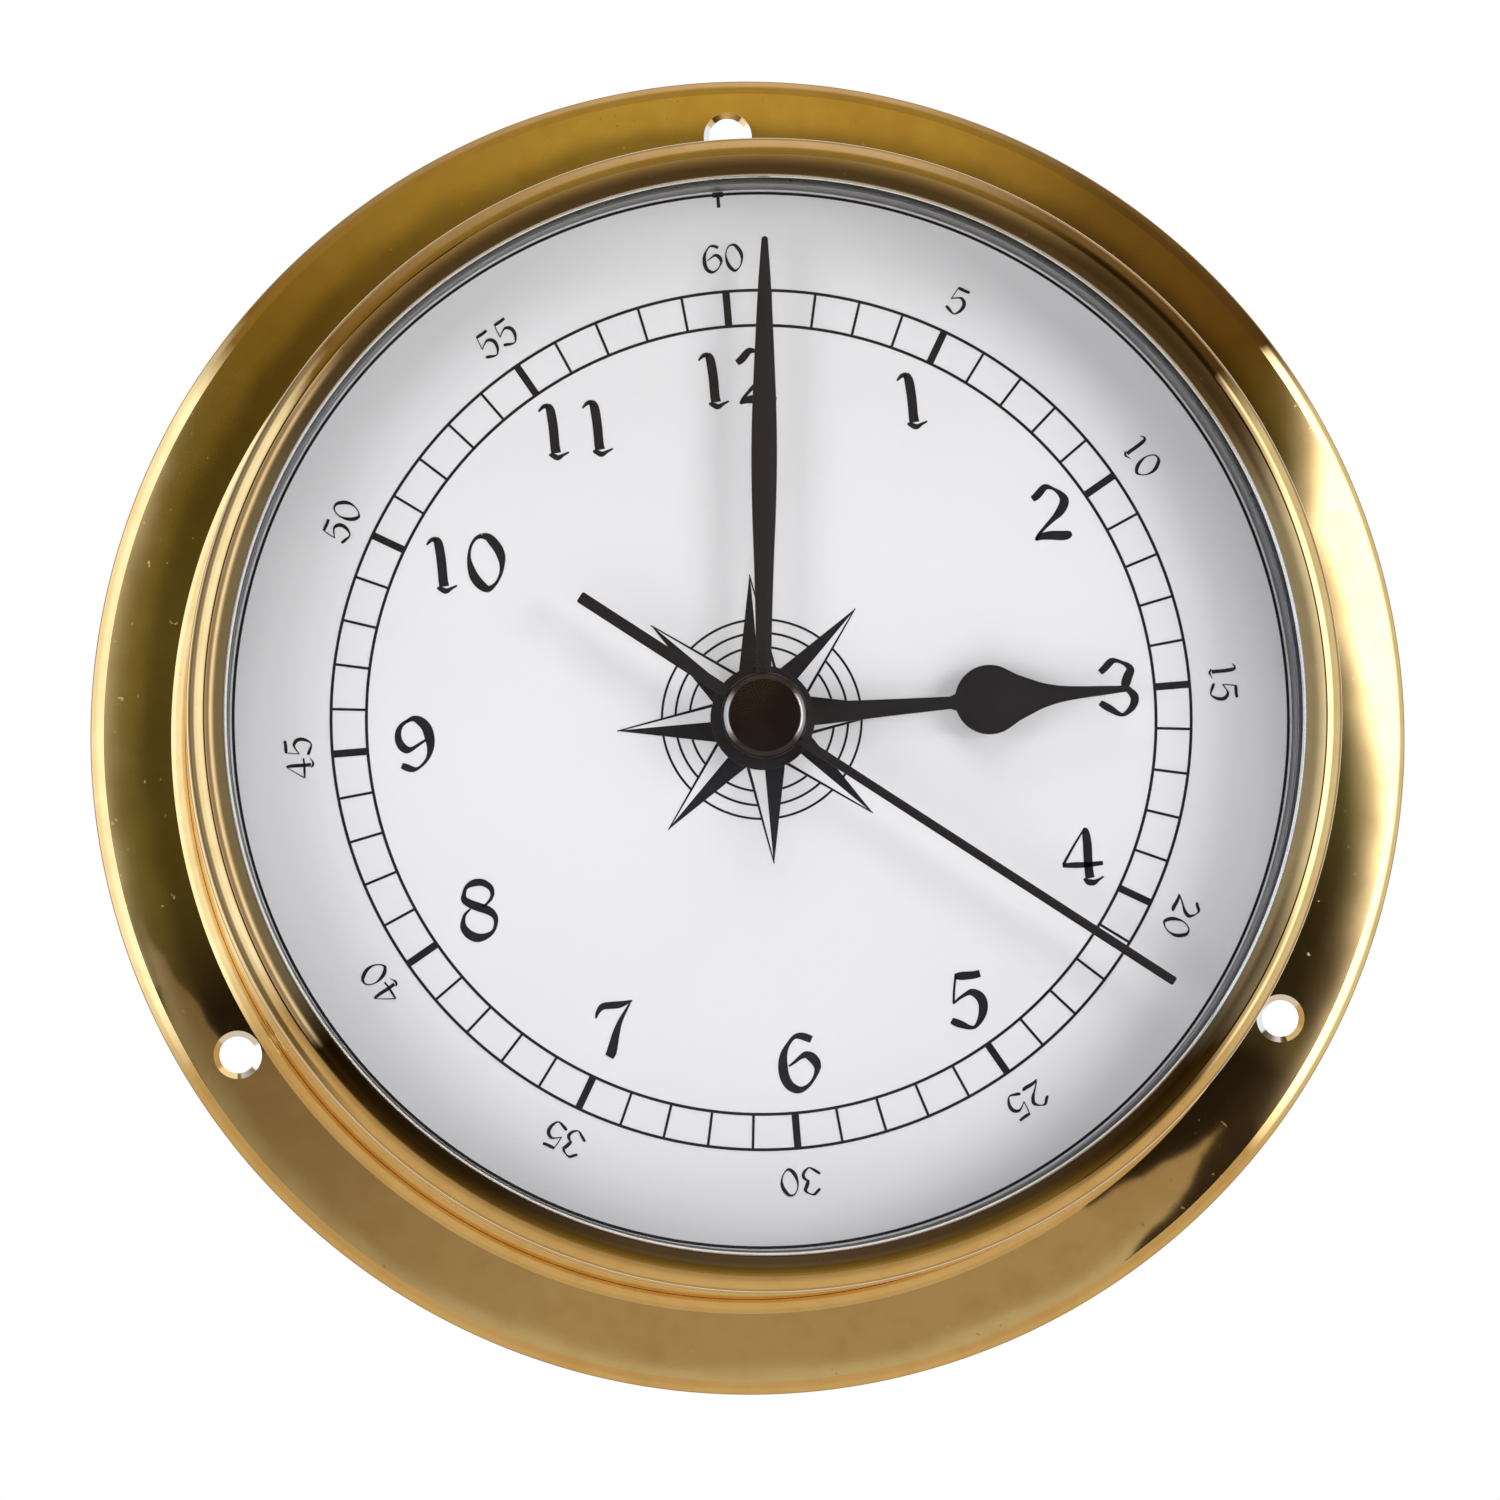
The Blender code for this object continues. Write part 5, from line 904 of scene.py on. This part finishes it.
def makeHands():
    hour = hourHand
    bulbEnd = math.radians(hour["bulbEnd"])
    shank = softRun(hour, "shank", "shankHalf", hour["hub"], hour["bulbReach"] - hour["bulb"] - hour["hub"])
    pointStart = hour["bulbReach"] + hour["bulb"] * math.sin(bulbEnd)
    point = softRun(hour, "point", "pointHalf", pointStart, hour["pointLength"])
    bulb = circleSide(hour["bulb"], shank[-1][0], hour["bulb"] * math.cos(bulbEnd), hour["bulbReach"], 29)
    side = circleSide(hour["hub"], 0.0, shank[0][0]) + shank[1:] + bulb[1:] + point
    side.append((0.0, pointStart + hour["pointLength"]))
    addHand("hourHandPlate", hour, mirrored(side), "hours", "hour_hand")
    minute = minuteHand
    leaf = softRun(minute, "leaf", "leafHalf", 0.0, minute["reach"])
    side = circleSide(minute["hub"], 0.0, leaf[0][0]) + leaf[1:] + [(0.0, minute["reach"])]
    addHand("minuteHandPlate", minute, mirrored(side), "minutes", "minute_hand")
    seconds = secondsHand
    low, high, endRound = seconds["tail"], seconds["reach"], seconds["endRound"]
    side = [(seconds["tailHalf"] - endRound, -low), (seconds["tailHalf"], -low + endRound)]
    side += circleSide(seconds["hub"], seconds["tailHalf"], seconds["frontHalf"])
    side += [(seconds["frontHalf"], high - endRound), (seconds["frontHalf"] - endRound, high)]
    addHand("secondsHandPlate", seconds, mirrored(side), "seconds", "seconds_hand")


def makeCap():
    profile = [(0.0, cap["front"])]
    heading = 0.0
    for size, toHeading in cap["rounds"]:
        profile += swept(profile[-1], size, heading, toHeading, 4.0 if size < 5 else 0.75)
        heading = toHeading
    scale = cap["radius"] / profile[-1][0]
    profile = [(radius * scale, height) for radius, height in profile]
    profile += [(cap["radius"], cap["back"]), (0.0, cap["back"])]
    mesh = smoothMesh("capTurned", turnedShape(profile, cap["steps"], False), 40.0)
    addPiece("capTurned", mesh, "seconds", "hand", "cap", "seconds_cap")


makeHands()
makeCap()
print("hands: hour, minute and seconds hands with their cap")


view = {"aim": (0.01, 3.0, -1.25), "distance": 950.0, "tilt": 3.9, "towards": 219.5, "roll": -2.07,
        "lens": 260.96, "sensor": 36.0}


def aimed(piece, place, back):  # at its place, facing against back
    piece.location = place
    piece.rotation_mode = "QUATERNION"
    piece.rotation_quaternion = (-back).to_track_quat("-Z", "Y")


def makeCamera():
    aim = Vector((view["aim"][0], -view["aim"][1], view["aim"][2])) * mm
    tilt, towards = math.radians(view["tilt"]), math.radians(view["towards"])
    back = Vector((math.sin(tilt) * math.sin(towards), -math.cos(tilt), math.sin(tilt) * math.cos(towards)))
    data = bpy.data.cameras.new("camera")
    data.lens = view["lens"]
    data.sensor_width = view["sensor"]
    data.clip_start = 0.01
    data.clip_end = 50.0
    camera = linked("camera", data)
    aimed(camera, aim + back * view["distance"] * mm, back)
    camera.rotation_quaternion @= Quaternion((0, 0, 1), math.radians(view["roll"]))
    bpy.context.scene.camera = camera


lamps = {  # place and aim in metres, size in metres, power in watts
    "keyLamp": {"place": (0.98, -0.95, 0.10), "size": 0.7, "watts": 7.2, "colour": (1.0, 0.99, 0.99)},
    "leftLamp": {"place": (-0.95, -0.95, 0.05), "size": 0.7, "watts": 4.3, "colour": (1.0, 0.99, 1.0)},
    "highLamp": {"place": (0.10, -0.95, 0.95), "size": 0.7, "watts": 3.9, "colour": (1.0, 0.99, 1.0)},
    "frontLamp": {"place": (-0.10, -1.50, -0.20), "size": 0.9, "watts": 1.2, "colour": (1.0, 0.99, 1.0)},
    "topLamp": {"place": (0.0, -0.15, 1.9), "size": 1.8, "watts": 45.0, "colour": (1.0, 1.0, 1.0)},
    "backLamp": {"place": (-0.8, 1.2, 0.7), "size": 0.9, "watts": 18.0, "colour": (1.0, 1.0, 1.0)},
    "backFill": {"place": (1.0, 1.0, 0.2), "size": 0.9, "watts": 12.0, "colour": (1.0, 1.0, 1.0)},
}


def makeLamps():
    for name, lamp in lamps.items():
        data = bpy.data.lights.new(name, "AREA")
        data.shape = "DISK"
        data.size = lamp["size"]
        data.energy = lamp["watts"]
        data.color = lamp["colour"]
        light = linked(name, data)
        aimed(light, lamp["place"], Vector(lamp["place"]))
        light.visible_camera = False
        light.visible_glossy = False


# What polished brass sees. Angles are clockwise from the top, about the middle of what the flange mirrors.
# The flat flange and the crest of the bezel mirror "near", and their slopes mirror "mid" and "far".
surround = {
    "middle": (0.0433, 0.0538),
    "near": [(0, (0.54, 0.44, 0.15)), (20, (0.48, 0.39, 0.13)), (36, (0.18, 0.125, 0.045)),
             (54, (0.12, 0.078, 0.025)), (63, (0.15, 0.14, 0.055)), (78, (0.22, 0.25, 0.13)),
             (97, (0.17, 0.19, 0.10)), (110, (0.062, 0.055, 0.035)), (119, (0.055, 0.047, 0.035)),
             (122, (0.12, 0.12, 0.08)), (125, (0.036, 0.029, 0.026)), (200, (0.036, 0.029, 0.026)),
             (245, (0.036, 0.029, 0.026)), (257, (0.15, 0.15, 0.06)), (280, (0.20, 0.195, 0.08)),
             (298, (0.17, 0.155, 0.055)), (312, (0.22, 0.17, 0.05)), (330, (0.36, 0.29, 0.09)),
             (348, (0.50, 0.42, 0.14)), (360, (0.54, 0.44, 0.15))],
    "mid": [(0, (0.42, 0.34, 0.14)), (20, (0.38, 0.31, 0.12)), (38, (0.12, 0.085, 0.04)),
            (55, (0.10, 0.07, 0.035)), (57, (3.0, 3.2, 4.2)), (124, (3.0, 3.2, 4.2)),
            (132, (0.60, 0.52, 0.43)), (240, (0.60, 0.52, 0.43)), (247, (1.5, 1.75, 2.5)),
            (303, (1.5, 1.75, 2.5)), (309, (0.28, 0.21, 0.08)), (340, (0.40, 0.32, 0.13)),
            (360, (0.42, 0.34, 0.14))],
    "far": [(0, (0.74, 0.70, 0.80)), (16, (0.66, 0.62, 0.70)), (32, (0.22, 0.17, 0.14)),
            (55, (0.08, 0.06, 0.035)), (62, (0.8, 0.9, 1.1)), (118, (0.8, 0.9, 1.1)),
            (134, (0.66, 0.59, 0.50)), (240, (0.66, 0.59, 0.50)), (250, (1.2, 1.4, 1.9)),
            (303, (1.2, 1.4, 1.9)), (312, (0.24, 0.18, 0.10)), (340, (0.55, 0.50, 0.52)),
            (360, (0.74, 0.70, 0.80))],
    "starts": [(0, 0.10), (48, 0.085), (57, 0.0612), (65, 0.0580), (72, 0.0545), (82, 0.0548), (90, 0.0565),
               (100, 0.0582), (110, 0.0592), (120, 0.0600), (130, 0.0608), (140, 0.080), (146, 0.10),
               (240, 0.10), (249, 0.0607), (270, 0.0600), (292, 0.0603), (306, 0.0612), (312, 0.085),
               (320, 0.10), (360, 0.10)],
    "midSoftness": 0.0055, "midEarly": 0.0045, "farFrom": (0.45, 0.70),
    "drumShade": (0.0510, 0.0530, 0.0548, 0.0572),
    "floor": (0.42, 0.375, 0.34), "floorRim": (0.57, 0.59, 0.62), "rimFrom": (0.0574, 0.0592),
    "floorFall": [(0, 1.0), (200, 1.0), (225, 0.70), (240, 0.55), (254, 0.45), (360, 0.45)],
    "floorMiddles": (0.0562, 0.0583), "floorEnds": (131.5, 254.0), "floorSlope": 4300.0, "floorReach": 15.0,
    "behind": (0.45, 0.42, 0.38), "backdrop": (1.1, 1.2, 1.6),
}


def degreeStops(stops):
    return [(degrees / 360.0, value if isinstance(value, tuple) else (value,) * 3)
            for degrees, value in stops]


def makeWorld():
    world = bpy.data.worlds.new("studio")
    bpy.context.scene.world = world
    world.use_nodes = True
    tree = world.node_tree
    tree.nodes.clear()
    net = Signal(tree)
    direction = net.node("ShaderNodeTexCoord", None, None, output=0)
    across, away, up = placeParts(net, direction)
    u, v = across - surround["middle"][0], up - surround["middle"][1]
    reach = net.maths("SQRT", u * u + v * v)
    share = net.maths("FRACT", net.maths("ARCTAN2", u, v) / (2 * math.pi) + 1.0)
    near, mid, far, starts, fall = [ramped(net, share, degreeStops(surround[name]))
                                    for name in ("near", "mid", "far", "starts", "floorFall")]
    start = net.node("ShaderNodeSeparateColor", None, {0: starts})
    # the lower half is a pale floor whose ends meet the dark in uneven points
    degrees = share * 360.0
    wobble = (noise(net, direction, 260.0, 2.0) - 0.5) * 7.0
    ends = []
    for middle, end, side in zip(surround["floorMiddles"], surround["floorEnds"], (1.0, -1.0)):
        slant = net.maths("ABSOLUTE", reach - middle) * surround["floorSlope"]
        slant = net.maths("MINIMUM", slant + wobble, surround["floorReach"])
        ends.append(rising(net, (degrees - end) * side - slant, 0.0, 0.5))
    rim = rising(net, reach, *surround["rimFrom"])
    floor = mixed(net, rim, surround["floor"], surround["floorRim"])
    floor = net.node("ShaderNodeMix", {"data_type": "RGBA", "blend_type": "MULTIPLY"},
                     {0: 1.0, 6: floor, 7: fall}, output=2)
    # the drum hides a part of the light from the flange beside it
    shade = between(net, reach, *surround["drumShade"])
    near = mixed(net, shade * 0.5, near, (0.0, 0.0, 0.0))
    front = mixed(net, ends[0] * ends[1], near, floor)
    glow = net.maths("DIVIDE", reach - start + surround["midEarly"], surround["midSoftness"], clamp=True)
    glow = net.maths("POWER", glow, 4.0)
    front = mixed(net, glow, front, mid)
    front = mixed(net, rising(net, reach, *surround["farFrom"]), front, far)
    front = mixed(net, rising(net, away, -0.10, 0.20), front, surround["behind"])
    seen = mixed(net, rising(net, away, 0.75, 0.9), front, surround["backdrop"])
    camera = net.node("ShaderNodeLightPath", None, None, output=0)
    colour = mixed(net, camera, seen, (1.0, 1.0, 1.0))
    shader = net.node("ShaderNodeBackground", None, {"Color": colour, "Strength": 1.0})
    output = tree.nodes.new("ShaderNodeOutputWorld")
    tree.links.new(shader.socket, output.inputs["Surface"])
    world.cycles_visibility.diffuse = False


def makeFloor():
    shape = bmesh.new()
    bmesh.ops.create_circle(shape, cap_ends=True, segments=128, radius=3.0)
    bmesh.ops.translate(shape, verts=shape.verts, vec=(0.0, 0.0, -0.45))
    mesh = bpy.data.meshes.new("floor")
    shape.to_mesh(mesh)
    shape.free()
    floor = linked("floor", mesh)
    mesh.materials.append(makeFinish("paleFloor", floorRecipe))
    floor.visible_glossy = False


makeCamera()
makeLamps()
makeWorld()
makeFloor()
bpy.context.scene.view_settings.view_transform = "Standard"
bpy.context.scene.view_settings.look = "None"
print("studio: camera, lamps, surroundings and floor")
